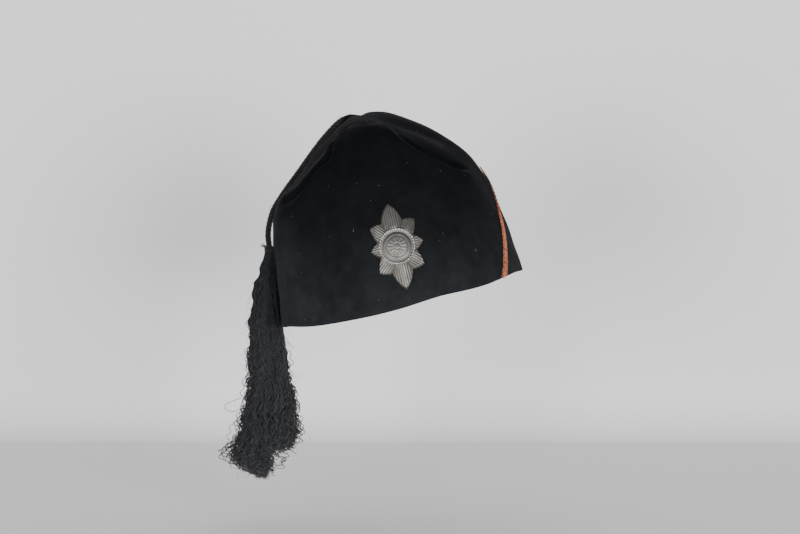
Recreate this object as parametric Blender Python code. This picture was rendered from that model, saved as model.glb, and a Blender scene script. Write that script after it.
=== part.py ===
"""A soft black felt fez with a corded tassel, a metal badge and a ribbon chevron on its side.

Metres, +Z up. The wearer faces -Y and the wearer's left is +X. The origin is the centre of
the head opening. The crown is shaped upright in its own frame, and an empty rolls it about
the Y axis to the slant at which it is worn. The cord and its tassel hang straight down.
"""

from math import atan2, cos, hypot, pi, radians, sin

import bmesh
import bpy
import numpy as np

# Crown
RIM_HALF_WIDTH = 0.0800
RIM_HALF_LENGTH = 0.0980
CROWN_HEIGHT = 0.1250
FELT = 0.0022
WORN_ROLL = radians(13.2)
CREST_ROUNDING = 0.15  # how softly the front's pointed arch is rounded, as a share of its half width

# Folds of the felt
FOLD_RISE = 0.0024
FOLD_DIP = 0.0048
FOLD_WIDTH = 0.0065
FOLD_EDGE = 0.0011
DIP_REACH = 0.65  # how far the dip beside a ridge spreads, as a share of the fold's width
RIM_WAVE = 0.0020
DENT_DEPTH = 0.0020
NOTCH_DEPTH = 0.0029  # the pinch that runs from front to back over the apex
NOTCH_HALF_WIDTH = 0.0037
NOTCH_HALF_LENGTH = 0.0180

# Cord and tassel
CORD_DIAMETER = 0.0040
BINDING_RADIUS = 0.0033
BINDING_HEIGHT = 0.0052
BINDING_DROP = 0.0200
TASSEL_LENGTH = 0.1450
TASSEL_HALF_WIDTH = 0.0210
TASSEL_BACK = 0.0060
BUTTON_RADIUS = 0.0042
BUTTON_HEIGHT = 0.0020
BUTTON_SHIFT = 0.0062
BUTTON_BACK = 0.0010
BUTTON_SEAT = 0.0007

# Badge
BADGE_HALF_HEIGHT = 0.0265
BADGE_HALF_WIDTH = 0.0165
BADGE_PLATE = 0.0011
BADGE_BOSS_RADIUS = 0.0088
BADGE_BOSS_RISE = 0.0024
BADGE_RAYS = 8
BADGE_X = 0.0052
BADGE_Z = 0.0370
PRONG_SPACING = 0.0240
PRONG_WIDTH = 0.0030
PRONG_THICKNESS = 0.0008
PRONG_LEG = 0.0070

# Ribbon chevron
RIBBON_WIDTH = 0.0066
RIBBON_THICKNESS = 0.0006
CHEVRON_FORWARD = 0.0560
CHEVRON_APEX = 0.0680
CHEVRON_HEM = 0.0012

# Clearance between pieces that touch, and how far a slot's cutter passes the felt
SEAT_GAP = 0.0004
SLOT_GAP = 0.0004
SLOT_REACH = 0.0030

# Fineness of the grids
CROWN_AROUND = 84
CROWN_ROWS = 28
ROUND_SIDES = 20
BADGE_SIDES = 64
CHEVRON_STEPS = 45
CHEVRON_LINES = 4

# Rings of the crown. Widths are shares of RIM_HALF_WIDTH, lengths of RIM_HALF_LENGTH and
# heights of CROWN_HEIGHT. The height of a ring differs at its sides and its ends.
CROWN_RINGS = (
    # name, right, right_up, left, left_up, front, front_up, back, back_up
    ("rim", 1.005, 0.000, 1.000, 0.000, 1.000, 0.000, 1.000, 0.000),
    ("hem", 0.991, 0.113, 0.980, 0.113, 0.965, 0.150, 0.975, 0.145),
    ("lower", 0.974, 0.230, 0.958, 0.230, 0.915, 0.330, 0.940, 0.306),
    ("middle", 0.948, 0.355, 0.933, 0.351, 0.837, 0.508, 0.880, 0.468),
    ("upper", 0.910, 0.468, 0.909, 0.468, 0.725, 0.694, 0.786, 0.630),
    ("shoulder", 0.850, 0.578, 0.852, 0.580, 0.551, 0.867, 0.643, 0.782),
    ("edge", 0.780, 0.670, 0.745, 0.655, 0.439, 0.919, 0.510, 0.863),
    ("slope", 0.646, 0.767, 0.592, 0.742, 0.352, 0.948, 0.393, 0.919),
    ("brow", 0.456, 0.876, 0.395, 0.848, 0.255, 0.969, 0.265, 0.964),
    ("cap", 0.228, 0.963, 0.196, 0.935, 0.131, 0.990, 0.133, 0.991),
    ("apex", 0.000, 1.000, 0.000, 1.000, 0.000, 1.000, 0.000, 1.000),
)

# Each fold runs along a line on the crown, from low azimuth to high. Azimuth is in degrees,
# 180 at the wearer's right side and 270 at the front, and up is the share of the way from
# the rim to the apex. The other columns are shares of FOLD_RISE, FOLD_DIP and FOLD_WIDTH.
FOLDS = {
    "front_crest": (
        # azimuth, up, rise, dip, width
        (196.0, 0.480, 0.0, 0.0, 0.7),
        (206.0, 0.472, 0.5, 0.2, 0.7),
        (214.0, 0.467, 0.8, 0.4, 0.7),
        (222.0, 0.460, 1.0, 0.5, 0.6),
        (228.5, 0.467, 1.0, 0.6, 0.6),
        (234.5, 0.480, 1.0, 0.7, 0.6),
        (240.5, 0.494, 1.0, 0.8, 0.6),
        (246.0, 0.489, 1.0, 0.9, 0.6),
        (250.0, 0.487, 1.0, 1.0, 0.7),
        (252.3, 0.503, 1.0, 1.0, 0.7),
        (254.0, 0.545, 1.0, 0.8, 0.7),
        (256.7, 0.606, 0.9, 0.6, 0.8),
        (260.0, 0.624, 0.8, 0.4, 0.8),
        (264.0, 0.598, 0.7, 0.3, 0.8),
        (269.0, 0.562, 0.6, 0.2, 0.8),
        (273.5, 0.553, 0.6, 0.2, 0.8),
        (278.0, 0.574, 0.7, 0.2, 0.8),
        (281.5, 0.602, 0.8, 0.3, 0.8),
        (284.0, 0.590, 1.0, 0.4, 0.8),
        (285.2, 0.535, 1.0, 0.5, 0.8),
        (288.0, 0.500, 1.0, 0.6, 0.8),
        (292.2, 0.482, 1.0, 0.6, 0.8),
        (297.8, 0.466, 1.0, 0.7, 0.8),
        (303.2, 0.458, 1.0, 0.8, 0.7),
        (309.0, 0.450, 1.0, 0.9, 0.7),
        (315.5, 0.440, 0.9, 0.9, 0.6),
        (321.2, 0.438, 0.7, 0.6, 0.6),
        (326.5, 0.443, 0.3, 0.2, 0.6),
        (331.0, 0.446, 0.0, 0.0, 0.6),
    ),
    "left_roll": (
        (188.0, 0.540, 0.0, 0.0, 0.6),
        (201.0, 0.524, 0.5, 0.0, 0.6),
        (210.5, 0.520, 0.8, 0.0, 0.6),
        (217.0, 0.518, 0.9, 0.0, 0.5),
        (226.0, 0.518, 0.9, 0.0, 0.5),
        (232.0, 0.530, 0.9, 0.0, 0.5),
        (237.5, 0.538, 0.9, 0.0, 0.5),
        (242.0, 0.536, 0.9, 0.0, 0.5),
        (245.5, 0.546, 0.9, 0.0, 0.5),
        (247.2, 0.580, 0.9, 0.0, 0.5),
        (247.2, 0.640, 0.6, 0.0, 0.5),
        (245.0, 0.700, 0.0, 0.0, 0.5),
    ),
}
FOLD_STEPS = 48
WALL_STEPS = 40

# Shallow dents: centre and reach in degrees of azimuth and shares of the way up, and depth
# as a share of DENT_DEPTH, where a rise is below zero.
DENTS = (
    # name, azimuth, up, reach_around, reach_up, depth
    ("right_of_badge", 308.0, 0.300, 12.0, 0.110, 0.7),
    ("left_of_badge", 238.0, 0.260, 14.0, 0.120, 0.5),
    ("right_wall", 345.0, 0.300, 15.0, 0.120, 0.4),
    ("crown_right", 318.0, 0.700, 20.0, 0.090, 1.0),
    ("crown_left", 225.0, 0.680, 20.0, 0.090, 0.9),
    ("back_dip", 92.0, 0.560, 26.0, 0.080, 1.0),
    ("back_swell", 95.0, 0.300, 32.0, 0.150, -0.8),
    ("right_crease", 309.3, 0.318, 2.5, 0.045, 0.2),
    ("cord_seat", 178.0, 0.860, 22.0, 0.100, -0.5),
)

# Where the rim rises a little from one plane: azimuth and reach in degrees, and the rise as
# a share of RIM_WAVE. The rise fades out over RIM_WAVE_REACH of the way up.
RIM_WAVES = (
    # name, azimuth, reach, rise
    ("front_left", 204.0, 16.0, 0.8),
    ("front_right", 289.0, 17.0, 1.1),
    ("right", 334.0, 22.0, 1.3),
    ("back", 95.0, 35.0, 0.9),
)
RIM_WAVE_REACH = 0.25

# The tassel's outer form. Drop is a share of TASSEL_LENGTH, half_width and half_depth are
# shares of TASSEL_HALF_WIDTH, and sway is how far the ring swings in under the rim.
TASSEL_RINGS = (
    # drop, half_width, half_depth, sway
    (0.000, 0.150, 0.150, 0.00),
    (0.040, 0.200, 0.190, 0.00),
    (0.085, 0.270, 0.260, 0.00),
    (0.125, 0.350, 0.330, 0.00),
    (0.170, 0.410, 0.390, 0.00),
    (0.260, 0.480, 0.460, 0.00),
    (0.350, 0.540, 0.500, 0.00),
    (0.450, 0.600, 0.540, 0.10),
    (0.570, 0.680, 0.600, 0.24),
    (0.700, 0.810, 0.690, 0.42),
    (0.810, 0.980, 0.790, 0.52),
    (0.890, 1.010, 0.820, 0.48),
    (0.960, 0.800, 0.700, 0.10),
    (1.000, 0.520, 0.460, -0.30),
)
TASSEL_SIDES = 28

# Outlines of the two small turned pieces, from the bottom up: radius and height as shares of
# BUTTON_RADIUS and BUTTON_HEIGHT, or of BINDING_RADIUS and BINDING_HEIGHT.
BUTTON_PROFILE = (
    # radius, height
    (0.40, 0.00),
    (0.80, 0.00),
    (1.00, 0.25),
    (0.92, 0.60),
    (0.62, 0.88),
    (0.25, 1.00),
)
BINDING_PROFILE = (
    # radius, height
    (0.70, 0.00),
    (0.95, 0.20),
    (1.00, 0.50),
    (0.95, 0.80),
    (0.70, 1.00),
)

# Rings of the badge's grid, as shares of the way from its middle to its edge.
BADGE_BACK_RINGS = (0.08, 0.36, 0.70, 1.00)
BADGE_FACE_RINGS = (1.00, 0.86, 0.70, 0.56, 0.42, 0.36, 0.27, 0.17, 0.08)

# The cord's middle line in metres, from the crown button down to the tassel's binding.
CORD_ROUTE = (
    (-0.0392, 0.0010, 0.1188),
    (-0.0412, 0.0016, 0.1173),
    (-0.0436, 0.0026, 0.1146),
    (-0.0470, 0.0044, 0.1104),
    (-0.0510, 0.0062, 0.1054),
    (-0.0553, 0.0076, 0.1001),
    (-0.0594, 0.0086, 0.0947),
    (-0.0633, 0.0092, 0.0893),
    (-0.0671, 0.0096, 0.0839),
    (-0.0707, 0.0096, 0.0790),
    (-0.0740, 0.0094, 0.0745),
    (-0.0771, 0.0090, 0.0701),
    (-0.0800, 0.0086, 0.0657),
    (-0.0826, 0.0081, 0.0616),
    (-0.0849, 0.0076, 0.0570),
    (-0.0864, 0.0071, 0.0520),
    (-0.0875, 0.0067, 0.0470),
    (-0.0880, 0.0064, 0.0420),
    (-0.0877, 0.0061, 0.0384),
    (-0.0873, 0.0060, 0.0357),
)
CORD_STEPS = 16
CORD_RESOLUTION = 2


def clear_scene():
    for item in list(bpy.data.objects):
        bpy.data.objects.remove(item, do_unlink=True)


def material(name, colour, roughness, metallic=0.0):
    made = bpy.data.materials.new(name)
    made.use_nodes = True
    shader = made.node_tree.nodes["Principled BSDF"]
    shader.inputs["Base Color"].default_value = (*colour, 1.0)
    shader.inputs["Roughness"].default_value = roughness
    shader.inputs["Metallic"].default_value = metallic
    return made


def add_object(name, mesh, look, parent=None):
    made = bpy.data.objects.new(name, mesh)
    bpy.context.scene.collection.objects.link(made)
    made.data.materials.append(look)
    made.parent = parent
    return made


def add_mesh(name, points, faces):
    mesh = bpy.data.meshes.new(name)
    mesh.from_pydata([tuple(p) for p in points], [], faces)
    mesh.shade_smooth()
    mesh.set_sharp_from_angle(angle=radians(40))
    return mesh


def through(values, place):
    """A smooth curve through equally spaced values, read at place from 0 to 1."""
    values = np.asarray(values, float)
    last = len(values) - 1
    at = np.clip(place, 0.0, 1.0) * last
    i = np.minimum(at.astype(int), last - 1)
    f = at - i
    before = np.where(i > 0, values[np.maximum(i - 1, 0)], 2 * values[0] - values[1])
    after = np.where(i < last - 1, values[np.minimum(i + 2, last)], 2 * values[-1] - values[-2])
    start, end = values[i], values[i + 1]
    leave, arrive = (end - before) / 2, (after - start) / 2
    from_start = (1 + 2 * f) * (1 - f) ** 2
    from_end = f * f * (3 - 2 * f)
    return from_start * start + from_end * end + f * (1 - f) ** 2 * leave - f * f * (1 - f) * arrive


def bump(distance):
    """One at the middle, falling smoothly to nothing at about twice the reach."""
    return np.exp(-(distance**2))


def turn_between(azimuth, centre):
    """The angle from centre to azimuth, the short way round."""
    return (azimuth - centre + pi) % (2 * pi) - pi


def crown_base(azimuth, up):
    """The crown without its folds, in the upright frame. Each ring is an oval whose half
    width and half length change smoothly from side to side, and whose height goes from
    that of its sides to that of its ends in straight slopes with a rounded peak."""
    azimuth, up = np.broadcast_arrays(np.asarray(azimuth, float), np.asarray(up, float))
    columns = zip(*[ring[1:] for ring in CROWN_RINGS])
    right, right_up, left, left_up, front, front_up, back, back_up = (
        through(column, up) for column in columns
    )
    across, along = np.cos(azimuth), np.sin(azimuth)
    half_width = RIM_HALF_WIDTH * ((right + left) / 2 + (right - left) / 2 * across)
    half_length = RIM_HALF_LENGTH * ((back + front) / 2 + (back - front) / 2 * along)
    side_up = (right_up + left_up) / 2 + (right_up - left_up) / 2 * across
    end_up = (back_up + front_up) / 2 + (back_up - front_up) / 2 * along
    widest = hypot(1.0, CREST_ROUNDING)
    to_end = (widest - np.hypot(across, CREST_ROUNDING)) / (widest - CREST_ROUNDING)
    height = CROWN_HEIGHT * (side_up * (1 - to_end) + end_up * to_end)
    for _, centre, reach, rise in RIM_WAVES:
        near = bump(turn_between(azimuth, radians(centre)) / radians(reach))
        fade = np.clip(1 - up / RIM_WAVE_REACH, 0, 1) ** 2
        height = height + RIM_WAVE * rise * near * fade
    return np.stack([half_width * across, half_length * along, height], axis=-1)


def crown_normal(azimuth, up):
    """The outward direction of the crown without its folds, from its slopes both ways."""
    azimuth, up = np.broadcast_arrays(np.asarray(azimuth, float), np.asarray(up, float))
    step = 0.002
    inside = np.clip(up, step, 1 - 4 * step)
    around = crown_base(azimuth + step, inside) - crown_base(azimuth - step, inside)
    rise = crown_base(azimuth, inside + step) - crown_base(azimuth, inside - step)
    out = np.cross(around, rise)
    return out / np.linalg.norm(out, axis=-1, keepdims=True)


def fold_line(rows):
    """The columns of a fold's rows, each read along one smooth curve."""
    place = np.linspace(0.0, 1.0, FOLD_STEPS)
    return [through(column, place) for column in zip(*rows)]


def fold_lift(azimuth, up):
    """How far the folds raise the felt at each of a row of places. Each fold is a sharp ridge
    along its line and a round dip one width away from it, on the side of the apex."""
    place = crown_base(azimuth, up)[:, None, :]
    lift = np.zeros(len(azimuth))
    for rows in FOLDS.values():
        line_azimuth, line_up, rise, dip, width = fold_line(rows)
        line_azimuth = np.radians(line_azimuth)
        line = crown_base(line_azimuth, line_up)
        start, run = line[:-1], np.diff(line, axis=0)
        along = np.clip(((place - start) * run).sum(-1) / (run * run).sum(-1), 0.0, 1.0)
        apart = np.linalg.norm(place - start - along[..., None] * run, axis=-1)
        nearest = apart.argmin(axis=1)
        each = np.arange(len(nearest))
        part, distance = along[each, nearest], apart[each, nearest]
        to_azimuth = turn_between(azimuth, line_azimuth[nearest])
        to_up = up - line_up[nearest]
        run_azimuth, run_up = np.diff(line_azimuth)[nearest], np.diff(line_up)[nearest]
        apex_side = run_azimuth * to_up - run_up * to_azimuth > 0
        signed = np.where(apex_side, distance, -distance)
        rise, dip, width = (
            column[nearest] * (1 - part) + column[nearest + 1] * part for column in (rise, dip, width)
        )
        reach = FOLD_WIDTH * width
        ridge = np.exp(-(np.hypot(signed, FOLD_EDGE) - FOLD_EDGE) / reach)
        valley = bump((signed - reach) / (DIP_REACH * reach))
        lift += FOLD_RISE * rise * ridge - FOLD_DIP * dip * valley
    return lift


def dent_lift(azimuth, up):
    """How far the shallow dents and the pinch at the apex lower the felt, as smooth hollows."""
    lift = np.zeros(np.shape(azimuth))
    for _, centre, centre_up, reach_around, reach_up, depth in DENTS:
        around = turn_between(azimuth, radians(centre)) / radians(reach_around)
        above = (up - centre_up) / reach_up
        lift -= DENT_DEPTH * depth * bump(np.hypot(around, above))
    place = crown_base(azimuth, up)
    pinch = bump(np.hypot(place[..., 0] / NOTCH_HALF_WIDTH, place[..., 1] / NOTCH_HALF_LENGTH))
    return lift - NOTCH_DEPTH * pinch


def crown_at(azimuth, up, lift=0.0):
    """A point of the folded crown, lift above its outer face."""
    azimuth, up = np.broadcast_arrays(np.asarray(azimuth, float), np.asarray(up, float))
    flat_azimuth, flat_up = azimuth.ravel(), up.ravel()
    rise = fold_lift(flat_azimuth, flat_up) + dent_lift(flat_azimuth, flat_up)
    rise = rise.reshape(azimuth.shape) + lift
    return crown_base(azimuth, up) + crown_normal(azimuth, up) * rise[..., None]


def crown_place(axis, across, height, azimuth):
    """The azimuth and up at which the crown has the given X or Y (axis 0 or 1) and height,
    found by Newton steps from a first azimuth."""
    across, height = np.broadcast_arrays(np.asarray(across, float), np.asarray(height, float))
    azimuth = np.full(across.shape, azimuth)
    up = 0.8 * height / CROWN_HEIGHT
    step = 1e-4
    for _ in range(12):
        here = crown_base(azimuth, up)
        turned = (crown_base(azimuth + step, up) - here) / step
        raised = (crown_base(azimuth, up + step) - here) / step
        miss_across = across - here[..., axis]
        miss_height = height - here[..., 2]
        scale = turned[..., axis] * raised[..., 2] - turned[..., 2] * raised[..., axis]
        turn = (miss_across * raised[..., 2] - miss_height * raised[..., axis]) / scale
        climb = (turned[..., axis] * miss_height - turned[..., 2] * miss_across) / scale
        azimuth = azimuth + turn
        up = np.clip(up + climb, step, 1 - step)
    return azimuth, up


def rim_height(forward):
    """How high the rim lies on the wearer's left side, at the given Y."""
    return crown_base(np.arcsin(forward / RIM_HALF_LENGTH), 0.0)[..., 2]


def crest_up(azimuth):
    """How far up the front crest's line lies at an azimuth, and level round the back."""
    line_azimuth, line_up, *_ = fold_line(FOLDS["front_crest"])
    first = line_azimuth[0]
    turned = (np.degrees(azimuth) - first) % 360
    ends = np.append(line_azimuth - first, 360.0)
    return np.interp(turned, ends, np.append(line_up, line_up[0]))


def to_world(point):
    """The place of an upright point once the crown is rolled to its worn slant."""
    x, y, z = (np.asarray(point, float)[..., i] for i in range(3))
    rolled_x = x * cos(WORN_ROLL) - z * sin(WORN_ROLL)
    rolled_z = x * sin(WORN_ROLL) + z * cos(WORN_ROLL)
    return np.stack([rolled_x, y, rolled_z], axis=-1)


def grid_faces(rows, columns, first=0, wrap=False, flip=False):
    """Quads between the points of a grid whose rows have the given number of columns."""
    faces = []
    for i in range(rows - 1):
        for j in range(columns if wrap else columns - 1):
            k = (j + 1) % columns
            corners = (i * columns + j, i * columns + k, (i + 1) * columns + k, (i + 1) * columns + j)
            faces.append(tuple(first + c for c in (corners[::-1] if flip else corners)))
    return faces


def cap_faces(ring, centre, flip=False):
    """Triangles from a ring of points to the point at its centre."""
    pairs = zip(ring, ring[1:] + ring[:1])
    return [(b, a, centre) if flip else (a, b, centre) for a, b in pairs]


def crown_mesh():
    """Two walls of felt that meet along the rim, with their rows laid along the crest."""
    azimuth = np.arange(CROWN_AROUND) * 2 * pi / CROWN_AROUND
    row = np.arange(CROWN_ROWS) / CROWN_ROWS
    crest = crest_up(azimuth)[None, :]
    below = crest * row[:, None] * 2
    above = crest + (1 - crest) * (row[:, None] * 2 - 1)
    up = np.where(row[:, None] <= 0.5, below, above)
    around = np.broadcast_to(azimuth, up.shape)
    outer = crown_at(around, up).reshape(-1, 3)
    inner = crown_at(around, up, -FELT).reshape(-1, 3)
    apex = crown_at(np.zeros(1), np.ones(1))
    points = np.concatenate([outer, apex, inner, apex - (0, 0, FELT)])
    size = len(outer)
    faces = grid_faces(CROWN_ROWS, CROWN_AROUND, wrap=True)
    faces += grid_faces(CROWN_ROWS, CROWN_AROUND, first=size + 1, wrap=True, flip=True)
    last = [(CROWN_ROWS - 1) * CROWN_AROUND + j for j in range(CROWN_AROUND)]
    faces += cap_faces(last, size)
    faces += cap_faces([size + 1 + j for j in last], 2 * size + 1, flip=True)
    for j in range(CROWN_AROUND):
        k = (j + 1) % CROWN_AROUND
        faces.append((size + 1 + j, size + 1 + k, k, j))
    return add_mesh("crown", points, faces)


def closed_strip(name, lower, upper):
    """A closed solid between two grids of the same size, lower on its underside."""
    rows, columns = lower.shape[:2]
    size = rows * columns
    points = np.concatenate([lower.reshape(-1, 3), upper.reshape(-1, 3)])
    faces = grid_faces(rows, columns, flip=True) + grid_faces(rows, columns, first=size)
    edge = list(range(columns))
    edge += [i * columns + columns - 1 for i in range(1, rows)]
    edge += [(rows - 1) * columns + j for j in range(columns - 2, -1, -1)]
    edge += [i * columns for i in range(rows - 2, 0, -1)]
    for a, b in zip(edge, edge[1:] + edge[:1]):
        faces.append((a, b, size + b, size + a))
    return add_mesh(name, points, faces)


def face_outwards(mesh):
    """Turns every face of a closed mesh outwards."""
    work = bmesh.new()
    work.from_mesh(mesh)
    bmesh.ops.recalc_face_normals(work, faces=work.faces)
    work.to_mesh(mesh)
    work.free()
    return mesh


def ring_solid(name, rings):
    """A closed solid lofted through equal rings of points, closed at both ends."""
    count = len(rings[0])
    points = np.concatenate([*rings, [rings[0].mean(axis=0)], [rings[-1].mean(axis=0)]])
    faces = grid_faces(len(rings), count, wrap=True)
    first = list(range(count))
    last = [(len(rings) - 1) * count + j for j in range(count)]
    faces += cap_faces(first, len(points) - 2, flip=True)
    faces += cap_faces(last, len(points) - 1)
    return face_outwards(add_mesh(name, points, faces))


def turned_rings(profile, radius, height):
    """Level rings round the origin, one for each row of a profile."""
    angle = np.arange(ROUND_SIDES) * 2 * pi / ROUND_SIDES
    round_ring = np.stack([np.cos(angle), np.sin(angle), np.zeros(ROUND_SIDES)], axis=-1)
    return [radius * reach * round_ring + (0.0, 0.0, height * up) for reach, up in profile]


def button_mesh():
    """The small felt nub that the cord is sewn into, whose foot follows the crown beside its
    apex."""
    rings = []
    for ring in turned_rings(BUTTON_PROFILE, BUTTON_RADIUS, BUTTON_HEIGHT):
        ring = ring + (-BUTTON_SHIFT, BUTTON_BACK, 0.0)
        from_apex = np.hypot(ring[:, 0], ring[:, 1])
        up = 1 - from_apex / cap_reach() / (len(CROWN_RINGS) - 1)
        ring[:, 2] += crown_at(np.arctan2(ring[:, 1], ring[:, 0]), up)[:, 2] + BUTTON_SEAT
        rings.append(ring)
    return ring_solid("crown_button", rings)


def cap_reach():
    """How far the cap ring lies from the apex, on average."""
    cap = CROWN_RINGS[-2]
    return (cap[1] + cap[3]) / 4 * RIM_HALF_WIDTH + (cap[5] + cap[7]) / 4 * RIM_HALF_LENGTH


def wall_line():
    """World X and Z of the crown's wearer's right outline, from the rim to the shoulder."""
    place = to_world(crown_at(pi, np.linspace(0.0, 0.5, WALL_STEPS)))
    return place[:, 0], place[:, 2]


def beside_wall(height, half_width):
    """World X of the middle of a piece that hangs just off the wall at a height."""
    wall_x, wall_z = wall_line()
    return np.interp(height, wall_z, wall_x) - SEAT_GAP - half_width


def binding_top():
    """Height of the tassel binding's top, below the shoulder that the cord leaves."""
    return float(wall_line()[1][-1]) - BINDING_DROP


def binding_mesh():
    """Turns of yarn wound round the tassel's neck, as one rounded ring of solid yarn."""
    foot = binding_top() - BINDING_HEIGHT
    centre = (beside_wall(foot + BINDING_HEIGHT / 2, BINDING_RADIUS), TASSEL_BACK, foot)
    rings = turned_rings(BINDING_PROFILE, BINDING_RADIUS, BINDING_HEIGHT)
    return ring_solid("tassel_binding", [ring + centre for ring in rings])


def skirt_mesh():
    """The outer form of the tassel's yarn, hanging against the wall and in under the rim."""
    start = binding_top() - BINDING_HEIGHT - SEAT_GAP
    angle = np.arange(TASSEL_SIDES) * 2 * pi / TASSEL_SIDES
    rings = []
    for drop, half_width, half_depth, sway in TASSEL_RINGS:
        height = start - drop * TASSEL_LENGTH
        reach = half_width * TASSEL_HALF_WIDTH
        depth = half_depth * TASSEL_HALF_WIDTH
        centre = beside_wall(height, reach) + sway * TASSEL_HALF_WIDTH
        across, back = centre + reach * np.cos(angle), TASSEL_BACK + depth * np.sin(angle)
        rings.append(np.stack([across, back, np.full(TASSEL_SIDES, height)], axis=-1))
    return ring_solid("tassel_skirt", rings)


def cord_object(look):
    """The cord as a round tube along a smooth curve through its route."""
    place = np.linspace(0.0, 1.0, CORD_STEPS)
    line = np.stack([through(column, place) for column in zip(*CORD_ROUTE)], axis=-1)
    curve = bpy.data.curves.new("tassel_cord", "CURVE")
    curve.dimensions = "3D"
    curve.bevel_depth = CORD_DIAMETER / 2
    curve.bevel_resolution = CORD_RESOLUTION
    curve.use_fill_caps = True
    spline = curve.splines.new("POLY")
    spline.points.add(len(line) - 1)
    for point, place in zip(spline.points, line):
        point.co = (*place, 1.0)
    return add_object("tassel_cord", curve, look)


def badge_point(across, above, lift):
    """A point of the badge, which is pressed to the curve of the crown's front."""
    azimuth, up = crown_place(0, BADGE_X + across, BADGE_Z + above, radians(272))
    return crown_at(azimuth, up, lift)


def ray_ridge(angle):
    """One along the middle of each ray, falling evenly to nothing between two rays."""
    turn = angle * BADGE_RAYS / (2 * pi) % 1
    return np.abs(2 * turn - 1)


def badge_outline(angle):
    """The rayed plate's reach: an upright oval whose edge comes out into straight points."""
    oval = 1 / np.hypot(np.cos(angle) / BADGE_HALF_WIDTH, np.sin(angle) / BADGE_HALF_HEIGHT)
    return oval * (0.70 + 0.30 * ray_ridge(angle))


def badge_relief(angle, share):
    """Thickness of the plate at a share of the way from its middle to its edge: ridged rays
    that rise towards the middle, and a domed boss over them."""
    boss = share * badge_outline(angle) / BADGE_BOSS_RADIUS
    dome = BADGE_BOSS_RISE * np.sqrt(np.clip(1 - (0.9 * boss) ** 2, 0, 1))
    rays = BADGE_PLATE * (0.70 + 1.2 * ray_ridge(angle) * (1 - share))
    return np.where(boss < 1, np.maximum(dome, rays), rays)


def badge_mesh():
    """The badge's plate and boss, as a grid of rings of points round its centre."""
    angle = np.arange(BADGE_SIDES) * 2 * pi / BADGE_SIDES
    layers = [(share, 0.0) for share in BADGE_BACK_RINGS]
    layers += [(share, badge_relief(angle, share)) for share in BADGE_FACE_RINGS]
    rings = []
    for share, thickness in layers:
        reach = share * badge_outline(angle)
        rings.append(badge_point(reach * np.cos(angle), reach * np.sin(angle), SEAT_GAP + thickness))
    return ring_solid("badge_plate", rings)


def prong_solid(name, above, spare):
    """A flat prong that goes through the felt and is bent over inside, or with spare the
    slot that clears it."""
    half = PRONG_WIDTH / 2 + spare
    side = PRONG_THICKNESS / 2 + spare
    inside = -FELT - SEAT_GAP
    if spare:
        outline = (
            # above, lift
            (-side, SLOT_REACH),
            (side, SLOT_REACH),
            (side, inside - SLOT_REACH),
            (-side, inside - SLOT_REACH),
        )
    else:
        way = 1 if above > 0 else -1
        outline = (
            # above, lift
            (-way * side, SEAT_GAP + BADGE_PLATE / 2),
            (way * side, SEAT_GAP + BADGE_PLATE / 2),
            (way * side, inside),
            (way * PRONG_LEG, inside),
            (way * PRONG_LEG, inside - PRONG_THICKNESS),
            (-way * side, inside - PRONG_THICKNESS),
        )
    rise, lift = np.array(outline).T
    ends = [badge_point(end, rise + above, lift) for end in (-half, half)]
    points = np.concatenate(ends)
    count = len(outline)
    faces = [tuple(range(count)), tuple(range(2 * count - 1, count - 1, -1))]
    for a in range(count):
        b = (a + 1) % count
        faces.append((a, count + a, count + b, b))
    return face_outwards(add_mesh(name, points, faces))


def add_boolean(target, tool, operation):
    modifier = target.modifiers.new(f"{operation.lower()}_{tool.name}", "BOOLEAN")
    modifier.object = tool
    modifier.operation = operation
    modifier.solver = "EXACT"
    tool.hide_render = True
    tool.display_type = "WIRE"


def chevron_mesh():
    """A ribbon stitched up the side as an inverted V, mitred at its apex. The middle of each
    arm is a straight line seen from the side, laid on the crown."""
    slope = atan2(CHEVRON_APEX - CHEVRON_HEM, CHEVRON_FORWARD)
    foot_reach = RIBBON_WIDTH / 2 / sin(slope)
    apex_reach = RIBBON_WIDTH / 2 / cos(slope)
    along = np.linspace(0.0, 2.0, CHEVRON_STEPS)[:, None]
    across = np.linspace(-1.0, 1.0, CHEVRON_LINES)[None, :]
    to_apex = 1 - np.abs(1 - along)
    side = np.where(along <= 1, -1.0, 1.0)
    forward = side * (1 - to_apex) * (CHEVRON_FORWARD + across * foot_reach)
    foot_height = rim_height(side * CHEVRON_FORWARD) + CHEVRON_HEM
    height = (1 - to_apex) * foot_height + to_apex * (CHEVRON_APEX + across * apex_reach)
    azimuth, up = crown_place(1, forward, height, 0.0)
    lower = crown_at(azimuth, up, SEAT_GAP)
    upper = crown_at(azimuth, up, SEAT_GAP + RIBBON_THICKNESS)
    return face_outwards(closed_strip("side_chevron", lower, upper))


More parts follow.
